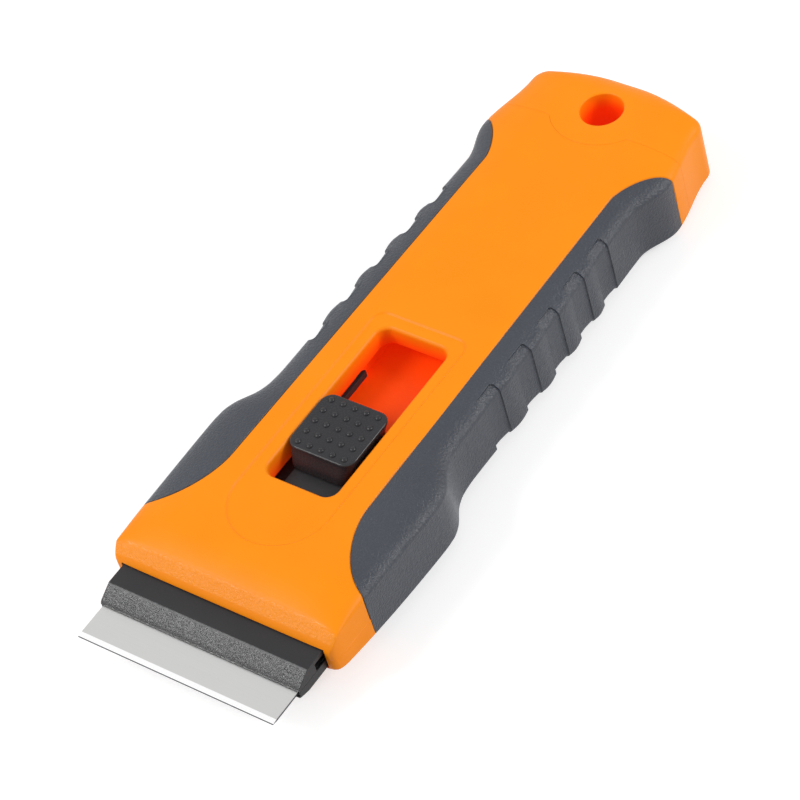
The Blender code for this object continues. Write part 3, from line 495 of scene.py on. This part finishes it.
def rib_sink(place, share):
    """Depth of the finger grooves: round-cornered pans that run over the edge and down. The
    lands between them swell a little."""
    inward = half_width(place) * (1 - min(share, 1.0))
    depth, line = 0.0, 0.0
    for rear, ahead in zip(groove_rears, groove_rears[:1] + groove_rears):
        half = groove_length / 2
        along = abs(place - (rear - half)) - half + groove_corner
        across = inward - groove_margin + groove_corner
        reach = (min(max(along, across), 0.0)
                 + math.hypot(max(along, 0.0), max(across, 0.0)) - groove_corner)
        towards_edge = ease(1.3 - inward / groove_edge)
        pan = groove_depth + groove_edge_depth * ease((rear - place) / groove_slope) * towards_edge
        depth = max(depth, pan * min(max(-reach / groove_wall, 0.0), 1.0))
        beside = min(max(reach / groove_line_width, 0.0), 1.0)
        line = max(line, groove_line * math.sin(math.pi * beside))
        if ahead < place < rear - groove_length:
            swell = math.sin(math.pi * (place - ahead) / (rear - groove_length - ahead))
            return -land_swell * swell * ease(1 - inward / land_width) - line
    return depth - line


strip_share = 0.45


def grip_side(side, upper, places, crown_columns=96, wall_columns=16):
    """The outer strip of the housing on one side as a closed block, with the finger grooves."""
    shape = bmesh.new()
    rows, columns = len(places) - 1, crown_columns + wall_columns
    bmesh.ops.create_grid(shape, x_segments=columns, y_segments=rows, size=1.0)
    first = math.asin(strip_share)
    for vertex in shape.verts:
        column = round((vertex.co.x + 1) / 2 * columns)
        place = places[round((vertex.co.y + 1) / 2 * rows)]
        share = math.sin(first + (math.pi / 2 - first) * min(column / crown_columns, 1.0))
        share += max(column - crown_columns, 0) / wall_columns
        x, z = skin_point(place, side * share, upper, rib_sink(place, share))
        vertex.co = Vector((x, place - middle_place, z)) * mm
    return close_at_joint(shape, upper)


rubber = moulded_plastic("grip_rubber_moulded", colour=(0.036, 0.042, 0.056),
                         deeper=(0.031, 0.036, 0.049), roughness=0.34, grain=2300.0,
                         grain_depth=0.30)
groove_end, groove_clearance, end_pitch, groove_pitch, land_pitch = 0.8, 0.4, 0.08, 0.6, 0.7
strip_overrun = 1
pad_depth = 1.2
groove_places = []
for rear in groove_rears:
    front = rear - groove_length
    groove_places += (spread(front, front + groove_end, end_pitch)
                      + spread(front + groove_end, rear - groove_end, groove_pitch)
                      + spread(rear - groove_end, rear, end_pitch) + [rear])
land_places = [place for place in spread(grip_front - strip_overrun, grip_rear + strip_overrun,
                                         land_pitch)
               if not any(-groove_length - groove_clearance < place - rear < groove_clearance
                          for rear in groove_rears)]
grip_places = sorted(land_places + groove_places + [grip_rear + strip_overrun])
for half, upper in (("top", True), ("bottom", False)):
    for handed, side in (("left", -1), ("right", 1)):
        pad = carve(grip_side(side, upper, grip_places), [
            ("INTERSECT", seam_prism(side, upper, 0.0, -seam_lip[half] / 2)),
            ("DIFFERENCE", grip_core(upper, pad_depth))])
        finished(pad, f"{half}_grip_{handed}_pad", f"{half}_grip_{handed}", "handle", rubber)


# Blade: a 40 mm strip of hardened steel, satin rolled, with a ground edge, a
# middle slot for the jaw's peg and two rounded rear corners.

def cad_shape(node):
    """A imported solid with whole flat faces."""
    shape = bmesh.new()
    shape.from_mesh(nodes[node].data)
    bmesh.ops.remove_doubles(shape, verts=shape.verts, dist=cad_weld * mm)
    bmesh.ops.dissolve_limit(shape, angle_limit=math.radians(0.6), verts=shape.verts,
                             edges=shape.edges)
    return shape


across_tool = (60.0, 5200.0, 60.0)


def strip_steel(name, colour, roughness, stretch=across_tool):
    """Rolled or ground steel: fine lines in one direction."""
    material = bpy.data.materials.new(name)
    material.use_nodes = True
    tree = material.node_tree
    link = tree.links.new
    shader = tree.nodes["Principled BSDF"]
    shader.inputs["Metallic"].default_value = 1.0
    place = tree.nodes.new("ShaderNodeTexCoord")
    drawn = tree.nodes.new("ShaderNodeMapping")
    drawn.inputs["Scale"].default_value = stretch
    lines = tree.nodes.new("ShaderNodeTexNoise")
    lines.inputs["Scale"].default_value = 1.0
    lines.inputs["Detail"].default_value = 3.0
    link(place.outputs["Object"], drawn.inputs["Vector"])
    link(drawn.outputs["Vector"], lines.inputs["Vector"])
    tone = tree.nodes.new("ShaderNodeMix")
    tone.data_type = "RGBA"
    tone.inputs["A"].default_value = (*colour, 1.0)
    tone.inputs["B"].default_value = (*[c * 0.93 for c in colour], 1.0)
    link(lines.outputs["Fac"], tone.inputs["Factor"])
    link(tone.outputs["Result"], shader.inputs["Base Color"])
    gloss = tree.nodes.new("ShaderNodeMapRange")
    gloss.inputs["To Min"].default_value = roughness - 0.04
    gloss.inputs["To Max"].default_value = roughness + 0.06
    link(lines.outputs["Fac"], gloss.inputs["Value"])
    link(gloss.outputs["Result"], shader.inputs["Roughness"])
    bump = tree.nodes.new("ShaderNodeBump")
    bump.inputs["Strength"].default_value = 0.25
    bump.inputs["Distance"].default_value = 0.004 * mm
    link(lines.outputs["Fac"], bump.inputs["Height"])
    link(bump.outputs["Normal"], shader.inputs["Normal"])
    return material


ground_width, honed_width = 1.05, 0.16


def ground_blade(node):
    """A blade with its ground bevels in the second material, near white, a painted highlight, and
    its fine honed edge and cut ends in the third, near black, painted shade."""
    shape = cad_shape(node)
    edge = min(vertex.co.y for vertex in shape.verts)
    for vertex in shape.verts:
        if 0.5 * mm < vertex.co.y - edge < 3.0 * mm:
            vertex.co.y = edge + ground_width * mm
    bmesh.ops.bisect_plane(shape, geom=list(shape.verts) + list(shape.edges) + list(shape.faces),
                           plane_co=(0, edge + honed_width * mm, 0), plane_no=(0, 1, 0))
    shape.normal_update()
    # Painted highlight within 1 mm of the edge; painted shade on the honed strip and on the upright
    # faces.
    for face in shape.faces:
        place = face.calc_center_median().y - edge
        face.material_index = 1 if place < 1.0 * mm else 0
        if place < honed_width * mm or abs(face.normal.z) < 0.3:
            face.material_index = 2
    return shape


along_tool = (5200.0, 60.0, 60.0)
steel = strip_steel("blade_steel_strip", colour=(0.62, 0.62, 0.61), roughness=0.30)
# Near white: a painted highlight, the reflection of the bright sky painted onto the ground bevel.
ground_painted_highlight = strip_steel("blade_steel_ground_painted_highlight", colour=(0.96, 0.96, 0.96), roughness=0.22,
                     stretch=along_tool)
# Near black: painted shade on the honed edge and the cut ends.
honed_painted_shade = strip_steel("blade_steel_honed_painted_shade", colour=(0.10, 0.10, 0.11), roughness=0.35,
                    stretch=along_tool)


def finished_blade(node, body):
    piece = finished(ground_blade(node), f"{node}_strip", node, body, steel,
                     sharp=3)
    piece.data.materials.append(ground_painted_highlight)
    piece.data.materials.append(honed_painted_shade)


finished_blade("blade", "slider")


# Jaws: two dark glass-filled mouldings that grip the blade. The upper one has
# a flat top, a ridge and a coarse, shiny front bevel; the lower one swings on
# pins, and its cheeks run up beside the blade.

dark = moulded_plastic("slider_plastic_moulded", colour=(0.024, 0.024, 0.026),
                       deeper=(0.020, 0.020, 0.022), roughness=0.38, grain=2600.0,
                       grain_depth=0.02, level=0.28)
coarse = moulded_plastic("slider_plastic_coarse", colour=(0.026, 0.026, 0.028),
                         deeper=(0.018, 0.018, 0.020), roughness=0.20, grain=2000.0,
                         grain_depth=0.26, level=0.6)
glossy_dark = moulded_plastic("slider_plastic_button", colour=(0.026, 0.026, 0.029),
                              deeper=(0.022, 0.022, 0.025), roughness=0.26, grain=2600.0,
                              grain_depth=0.012, level=0.28)

jaw_half, between_cheeks = 20.4, 20.05
lip_profile = [(6.9, 5.95), (7.4, 5.72), (8.6, 5.5), (9.3, 5.45), (9.3, 6.3), (6.95, 6.3),
               (6.8, 6.15)]
cheek_profile = [(6.9, 5.95), (7.4, 5.72), (8.6, 5.5), (10.2, 5.4), (21.0, 5.4), (21.0, 6.76),
                 (6.95, 6.76), (6.8, 6.15)]
front_lip = stacked([[(x, y, z) for y, z in lip_profile]
                     for x in (-between_cheeks, between_cheeks)])
cheeks = [stacked([[(side * x, y, z) for y, z in cheek_profile]
                   for x in (between_cheeks, jaw_half)]) for side in (-1, 1)]
lower_jaw = carve(cad_shape("lower_jaw"), [("UNION", block) for block in (front_lip, *cheeks)])
finished(lower_jaw, "lower_jaw_moulding", "lower_jaw", "slider", dark,
         rounding=0.06)

jaw_under, bevel_rear = 6.8, 9.6
jaw_profile = [(6.85, jaw_under), (6.85, 7.1), (6.95, 7.35), (7.3, 7.72), (bevel_rear, 9.0),
               (9.9, 9.17), (10.05, 9.2), (24.0, 9.2), (24.0, jaw_under)]
peg_radius, peg_reach, peg_place = 1.2, 5.0, 12.5
peg = [(peg_reach * end + peg_radius * math.cos(math.radians(turn)),
        peg_place + peg_radius * math.sin(math.radians(turn)))
       for end, start in ((1, -90), (-1, 90)) for turn in range(start, start + 181, 15)]
pin_room_left = rectangle(-22.0, -17.4, 11.6, 21.0)
pin_room_right = rectangle(17.4, 22.0, 11.6, 21.0)
upper_jaw = carve(stacked([[(x, y, z) for y, z in jaw_profile] for x in (-jaw_half, jaw_half)]), [
    ("DIFFERENCE", plan_block(pin_room_left, 6.0, 8.4)),
    ("DIFFERENCE", plan_block(pin_room_right, 6.0, 8.4)),
    ("UNION", plan_block(peg, 5.875, 7.85))])
for face in upper_jaw.faces:
    at_front = face.calc_center_median().y < (bevel_rear - middle_place) * mm
    on_bevel = at_front and face.normal.y < -0.3 and face.normal.z > 0.3
    on_ridge = not at_front and face.normal.y < -0.4 and face.normal.z > 0.3
    face.material_index = 1 if on_bevel else 2 if on_ridge else 0
upper_jaw = finished(upper_jaw, "upper_jaw_moulding", "upper_jaw", "slider", dark,
                     rounding=0.08)
upper_jaw.data.materials.append(coarse)
upper_jaw.data.materials.append(glossy_dark)


# Jaw pins and housing screws: plain turned pins, and cross-slotted plated
# self-tapping screws.

plated = strip_steel("screw_steel_plated", colour=(0.62, 0.62, 0.62), roughness=0.3)
for handed in ("left", "right"):
    finished(cad_shape(f"jaw_pin_{handed}"), f"jaw_pin_{handed}_turned", f"jaw_pin_{handed}",
             "slider", plated, sharp=40)
for number in range(1, 5):
    node = f"housing_screw_{number}"
    finished(cad_shape(node), f"{node}_plated", node, "handle", plated, sharp=35)


# Blade carrier: the dark slide under the button, moulded in one with its two
# thin click arms, which run back along the channel walls.

deck_level = 7.35
tongue = plan_block(rectangle(-5.0, 5.0, 26.9, 54.6), deck_level, 10.6)
cross_bar = plan_block(rectangle(-14.9, 14.9, 24.3, 28.5), 5.1, 9.2)
runner = plan_block(rectangle(-8.2, 8.2, 27.7, 54.0), deck_level, 8.95)
carrier = carve(tongue, [("UNION", cross_bar), ("UNION", runner)])
arm_outline = [(3.9, 52.8), (7.3, 52.8), (7.35, 63.0), (8.1, 63.5), (8.1, 64.1), (7.35, 64.7),
               (7.2, 64.95), (7.0, 65.0), (6.8, 64.95), (6.65, 64.7), (6.6, 54.0), (3.9, 54.0)]
pin_place, pin_height, pin_bore, pin_bore_steps = 26.4, 7.15, 1.1, 24
for side in (-1, 1):
    arm = plan_block([(side * x, y) for x, y in arm_outline], 8.9, 10.1)
    arm_foot = plan_block(rectangle(*sorted((side * 4.0, side * 7.2)), 52.9, 53.9), 8.5, 10.05)
    bore = [[(side * x, pin_place + pin_bore * math.cos(a), pin_height + pin_bore * math.sin(a))
             for a in (2 * math.pi * s / pin_bore_steps for s in range(pin_bore_steps))]
            for x in (11.8, jaw_half)]
    carrier = carve(carrier, [("UNION", arm), ("UNION", arm_foot), ("DIFFERENCE", stacked(bore))])
finished(carrier, "blade_carrier_moulding", "blade_carrier", "slider", dark,
         rounding=0.12)


# Thumb button: a round-cornered dark moulding with five rows of five small
# domes, drawn in towards its foot, which clips on to the carrier.

def rounded_rectangle(half, front, rear, radius, steps=10):
    corners = [(half - radius, front + radius, -90), (half - radius, rear - radius, 0),
               (radius - half, rear - radius, 90), (radius - half, front + radius, 180)]
    return [(x + radius * math.cos(math.radians(turn + 90 * s / steps)),
             y + radius * math.sin(math.radians(turn + 90 * s / steps)))
            for x, y, turn in corners for s in range(steps + 1)]


button_foot, button_top, button_middle = 10.9, 14.62, -0.3
button_corner, corner_growth, largest_corner = 1.7, 0.13, 2.1
rim_half, rim_front, rim_rear, rim_level, rim_round = 6.66, 43.3, 55.7, 14.32, 0.3
levels = [(5.8, 41.9, 54.9, button_foot), (5.85, 42.0, 54.95, 11.5), (6.0, 42.4, 55.1, 12.3),
          (6.25, 42.85, 55.3, 13.1), (6.5, 43.15, 55.5, 13.7), (6.63, 43.27, 55.64, 14.1),
          (rim_half, rim_front, rim_rear, rim_level)]
for turn in (math.pi / 8, math.pi / 4, math.pi * 3 / 8, math.pi / 2):
    drawn_in = rim_round * (1 - math.cos(turn))
    levels.append((rim_half - drawn_in, rim_front + drawn_in, rim_rear - drawn_in,
                   rim_level + rim_round * math.sin(turn)))
button_rings = []
for half, front, rear, z in levels:
    corner = min(button_corner + (z - button_foot) * corner_growth, largest_corner)
    button_rings.append([(button_middle + x, y, z)
                         for x, y in rounded_rectangle(half, front, rear, corner)])
button = stacked(button_rings)
dome_pitch_across, dome_pitch_along, domes_middle = 2.38, 2.44, 49.45
dome_radius, dome_height, dome_sink = 0.56, 0.4, 0.02
domes = bmesh.new()
for row in range(-2, 3):
    for column in range(-2, 3):
        spot = Vector((button_middle + column * dome_pitch_across,
                       domes_middle + row * dome_pitch_along - middle_place,
                       button_top - dome_sink))
        squash = Matrix.Diagonal((dome_radius, dome_radius, dome_height, 1))
        bmesh.ops.create_uvsphere(domes, u_segments=20, v_segments=12, radius=1,
                                  matrix=Matrix.Scale(mm, 4) @ Matrix.Translation(spot) @ squash)
finished(carve(button, [("UNION", domes)]), "thumb_button_moulding", "thumb_button", "slider",
         glossy_dark)


# Top shell: the upper half of the housing, with the mouth's bevel, the window
# for the button in its shallow dish, and the scallop for the cap's lobe. It
# is injection moulded like the lower half, with a coarse grain on the bevel.

def rim(level, out, radius):
    """Steps of (growth, height) that round the edge of an opening at a level."""
    steps = [(radius * (1 - math.cos(a)), level - out * radius * (1 - math.sin(a)))
             for a in (0.0, math.pi / 8, math.pi / 4, math.pi * 3 / 8)]
    return steps + [(radius * 1.1, level + out * radius * 0.15), (radius * 1.1, level + out)]


dish_half, dish_front_place, dish_depth = 9.5, 33.5, 0.25
dish_corner, dish_corner_x, dish_corner_place = 2.3, 7.2, 72.1


def dish_outline(grow):
    """A half circle in front and a rounded rectangle behind, round the window."""
    half, corner = dish_half + grow, dish_corner + grow
    front = [math.pi * (1 + s / 48) for s in range(49)]
    points = [(half * math.cos(a), dish_front_place + half * math.sin(a)) for a in front]
    for x, start in ((dish_corner_x, 0), (-dish_corner_x, 90)):
        turns = [math.radians(start + 9 * s) for s in range(11)]
        points += [(x + corner * math.cos(a), dish_corner_place + corner * math.sin(a))
                   for a in turns]
    return points


lobe_place, lobe_radius, scallop_radius, lobe_steps = 131.0, 10.025, 10.04, 40


def lobe_arc(radius):
    """The cap's lobe from side to side, and how far out it meets the split."""
    reach = math.sqrt(radius**2 - (lobe_place - split_place) ** 2)
    turn = math.degrees(math.asin(reach / radius))
    turns = [math.radians(-90 - turn + 2 * turn * s / lobe_steps) for s in range(lobe_steps + 1)]
    return [(radius * math.cos(a), lobe_place + radius * math.sin(a)) for a in turns], reach


def scallop_outline(grow):
    arc, reach = lobe_arc(scallop_radius + grow)
    return arc + [(reach, 128.0), (-reach, 128.0)]


above_all = 18.0
dish_level = body_height - dish_depth
dish = stacked([[(x, y, z) for x, y in dish_outline(grow)] for grow, z in (
    (-0.2, dish_level), (0.12, body_height - 0.02), (0.22, body_height + 0.08),
    (0.22, above_all))])
window_half, window_front, window_rear, window_corner, window_rim = 7.05, 37.05, 71.85, 2.1, 0.7
window = stacked([[(x, y, z) for x, y in rounded_rectangle(
    window_half + grow, window_front - grow, window_rear + grow, window_corner + grow)]
    for grow, z in [(0.1, 10.5), (-0.1, 10.8), (0.0, 11.3)] + rim(dish_level, 1, window_rim)])
lobe_edge = [(0.0, 14.57), (0.05, 14.62), (0.05, above_all)]
scallop = stacked([[(x, y, z) for x, y in scallop_outline(grow)]
                   for grow, z in [(0.0, 11.7)] + lobe_edge])
channel_half, channel_front = 8.5, 20.0
channel = plan_block(rectangle(-channel_half, channel_half, channel_front, 80.6), 4.2, 10.7)
tongue_room = plan_block(rectangle(-5.6, 5.6, channel_front, 40.0), 9.0, 11.2)
notch_spots = [(side * channel_half, place) for side in (-1, 1) for place in (59.3, 63.8, 79.3)]
notches = [plan_block(circle(*spot, 0.7, 16), 8.6, 10.2) for spot in notch_spots]
top = carve(housing_half(housing_places, True, columns=72, end_inset=joint_round), [
    ("DIFFERENCE", grip_bed(-1, "top")),
    ("DIFFERENCE", grip_bed(1, "top")),
    ("DIFFERENCE", plan_block(jaw_room, jaw_room_floor, jaw_room_roof)),
    ("DIFFERENCE", channel),
    ("DIFFERENCE", tongue_room),
    ("DIFFERENCE", plan_block(tray_room, tray_room_floor, tray_room_roof)),
    ("DIFFERENCE", dish),
    ("DIFFERENCE", window),
    ("DIFFERENCE", scallop),
    *[("DIFFERENCE", notch) for notch in notches],
    *[("DIFFERENCE", plan_block(circle(*spot, screw_bore), *bore_above)) for spot in screw_spots]])
# Faces inside the window, below the recess top, take the orange with painted shade and a painted
# red glow; the mouth's bevel takes the coarse orange with painted light.
sunk_half, sunk_front, sunk_rear = 8.7, 36.0, 73.0
for face in top.faces:
    x, y, z = face.calc_center_median() / mm
    at_bevel = y < crease_place - middle_place and 0.6 < -face.normal.y < 0.8 < 1.5 * face.normal.z
    in_window = (abs(x) < sunk_half and sunk_front < y + middle_place < sunk_rear
                 and z < recess_top)
    face.material_index = 1 if at_bevel else 2 if in_window else 0
top_shell = finished(top, "top_shell_moulding", "top_shell", "handle", orange)
top_shell.data.materials.append(coarse_orange_painted_lit)
top_shell.data.materials.append(sunk_orange_painted_glow)


# Spare blades, their tray and its strap: the tray and strap are one orange
# moulding on the real tool, joined by a living hinge.

for number in range(1, 6):
    finished_blade(f"spare_blade_{number}", "magazine")
finished(cad_shape("blade_magazine"), "blade_magazine_moulding", "blade_magazine", "magazine",
         orange, rounding=0.12)
finished(cad_shape("magazine_door"), "magazine_door_moulding", "magazine_door", "magazine",
         orange, rounding=0.12)


# End cap: the orange pull at the rear with the hanging hole, which closes the
# housing. Its round lobe fills the top shell's scallop, and a plug fills the
# pocket behind the tray.

def whole_section(places, columns=64):
    """Both halves of the outer form as one closed block."""
    shares = [math.sin(c * math.pi / columns - math.pi / 2) for c in range(columns + 1)]
    loops = []
    for place in places:
        loop = [skin_point(place, s, True) for s in shares]
        loop += [skin_point(place, s, False) for s in reversed(shares)]
        loops.append([(x, place, z) for x, z in loop])
    return stacked(loops)


cap_front, cap_seat_level = split_place + 0.008, 12.15
past_side, past_front, past_underside = 26, 110, -2.0
cap_places = (spread(118.6, 125.8, 0.8) + spread(125.8, cap_corner_place, 1.2)
              + spread(cap_corner_place, cap_end_place, 0.2)
              + [total_length - cap_end_length * s**2 for s in
                 (1.0, 0.97, 0.92, 0.85, 0.76, 0.65, 0.53, 0.4, 0.27, 0.14, 0.04)])
before_cap = []
for grow, z in [(0.0, 12.05)] + lobe_edge:
    front = cap_front + grow
    arc = [(x, y + front - split_place) for x, y in lobe_arc(lobe_radius)[0]]
    outline = [(-past_side, past_front), (past_side, past_front), (past_side, front), *arc[::-1],
               (-past_side, front)]
    before_cap.append([(x, y, z) for x, y in outline])
under_seat = plan_block(rectangle(-past_side, past_side, past_front, cap_front), past_underside,
                        cap_seat_level)
plug = plan_block(rectangle(-11.25, 11.25, 124.0, 128.0), 5.0, 12.0)
pocket_reach, pocket_floor = 15.1, 2.8
hole_place, hole_radius, hole_rim = 129.6, 3.9, 0.3
hole_steps = rim(0.0, -1, hole_rim)[::-1] + rim(body_height, 1, hole_rim)
cap = carve(whole_section(cap_places), [
    ("DIFFERENCE", under_seat),
    ("DIFFERENCE", stacked(before_cap)),
    *[("DIFFERENCE", plan_block(rectangle(left, right, 122.0, 133.0), pocket_floor,
                                tray_room_roof))
      for left, right in ((-pocket_reach, -tray_room_half), (tray_room_half, pocket_reach))],
    ("UNION", plug),
    ("DIFFERENCE", stacked([[(x, y, z) for x, y in circle(0.0, hole_place, hole_radius + grow, 64)]
                            for grow, z in hole_steps]))])
# Faces inside the hanging hole take the orange with painted shade and a painted red glow.
for face in cap.faces:
    x, y, z = face.calc_center_median() / mm
    from_axis = math.hypot(x, y + middle_place - hole_place)
    in_hole = from_axis < hole_radius + 0.2 and hole_rim < z < recess_top
    face.material_index = int(in_hole)
end_cap = finished(cap, "end_cap_moulding", "end_cap", "magazine", orange)
end_cap.data.materials.append(sunk_orange_painted_glow)


# Studio: a white floor that keeps the shadow, three soft boxes, an even soft
# world and the camera at the photograph's angle.

def background_ray(tree):
    """1 on rays that look at the background: from the camera, a reflection or clear material."""
    rays = tree.nodes.new("ShaderNodeLightPath")
    first = tree.nodes.new("ShaderNodeMath")
    first.operation = "MAXIMUM"
    second = tree.nodes.new("ShaderNodeMath")
    second.operation = "MAXIMUM"
    tree.links.new(rays.outputs["Is Camera Ray"], first.inputs[0])
    tree.links.new(rays.outputs["Is Glossy Ray"], first.inputs[1])
    tree.links.new(first.outputs[0], second.inputs[0])
    tree.links.new(rays.outputs["Is Transmission Ray"], second.inputs[1])
    return second


floor_mesh = bmesh.new()
bmesh.ops.create_grid(floor_mesh, x_segments=1, y_segments=1, size=3.0)
floor = bpy.data.objects.new("studio_floor", mesh_from(floor_mesh, "studio_floor"))
floor.location.z = -0.0003
bpy.context.scene.collection.objects.link(floor)
paper = bpy.data.materials.new("studio_paper")
paper.use_nodes = True
tree = paper.node_tree
tree.nodes["Principled BSDF"].inputs["Base Color"].default_value = (0.65, 0.65, 0.65, 1)
tree.nodes["Principled BSDF"].inputs["Roughness"].default_value = 1.0
tree.nodes["Principled BSDF"].inputs["Specular IOR Level"].default_value = 0.0
seen = background_ray(tree)
lift = tree.nodes.new("ShaderNodeMath")
lift.operation = "MULTIPLY"
lift.inputs[1].default_value = 0.55
tree.links.new(seen.outputs[0], lift.inputs[0])
glow = tree.nodes.new("ShaderNodeEmission")
tree.links.new(lift.outputs[0], glow.inputs["Strength"])
both = tree.nodes.new("ShaderNodeAddShader")
tree.links.new(tree.nodes["Principled BSDF"].outputs[0], both.inputs[0])
tree.links.new(glow.outputs[0], both.inputs[1])
tree.links.new(both.outputs[0], tree.nodes["Material Output"].inputs["Surface"])
floor.data.materials.append(paper)


def soft_light(name, size, power, azimuth, elevation, distance):
    lamp = bpy.data.lights.new(name, "AREA")
    lamp.shape = "RECTANGLE"
    lamp.size, lamp.size_y = size, size
    lamp.energy = power
    light = bpy.data.objects.new(name, lamp)
    a, e = math.radians(azimuth), math.radians(elevation)
    back = Vector((math.sin(a) * math.cos(e), -math.cos(a) * math.cos(e), math.sin(e)))
    light.location = back * distance
    light.rotation_mode = "QUATERNION"
    light.rotation_quaternion = back.to_track_quat("Z", "Y")
    bpy.context.scene.collection.objects.link(light)


soft_light("low_light", size=0.2, power=0.9, azimuth=-29, elevation=21, distance=0.9)
soft_light("left_light", size=0.35, power=3.5, azimuth=-49, elevation=47, distance=0.9)
soft_light("right_light", size=0.3, power=4.0, azimuth=122, elevation=33, distance=0.9)

world = bpy.data.worlds.new("studio_world")
bpy.context.scene.world = world
world.use_nodes = True
tree = world.node_tree
tree.nodes.clear()
around = tree.nodes.new("ShaderNodeBackground")
around.inputs["Strength"].default_value = 0.45
plain = tree.nodes.new("ShaderNodeBackground")
for shade in (around, plain):
    shade.inputs["Color"].default_value = (1.0, 1.0, 1.0, 1.0)
choose = tree.nodes.new("ShaderNodeMixShader")
out = tree.nodes.new("ShaderNodeOutputWorld")
tree.links.new(background_ray(tree).outputs[0], choose.inputs["Fac"])
tree.links.new(around.outputs[0], choose.inputs[1])
tree.links.new(plain.outputs[0], choose.inputs[2])
tree.links.new(choose.outputs[0], out.inputs["Surface"])

view_azimuth, view_elevation, view_roll = (math.radians(a) for a in (47.976, 46.635, -17.779))
forward = Vector((-math.sin(view_azimuth) * math.cos(view_elevation),
                  math.cos(view_azimuth) * math.cos(view_elevation), -math.sin(view_elevation)))
right = forward.cross(Vector((0, 0, 1))).normalized()
up = right.cross(forward)
turned_right = right * math.cos(view_roll) + up * math.sin(view_roll)
turned_up = up * math.cos(view_roll) - right * math.sin(view_roll)
camera = bpy.data.objects.new("photo_camera", bpy.data.cameras.new("photo_camera"))
camera.data.lens = 161.4
camera.data.sensor_width = 36.0
camera.data.clip_start = 0.05
camera.data.clip_end = 20.0
view_distance, view_target = 586.0, Vector((5.567, -9.895, body_height)) * mm
turn = Matrix((turned_right, turned_up, -forward)).transposed().to_4x4()
camera.matrix_world = Matrix.Translation(view_target - forward * view_distance * mm) @ turn
bpy.context.scene.collection.objects.link(camera)
bpy.context.scene.camera = camera
bpy.context.scene.view_settings.view_transform = "Standard"
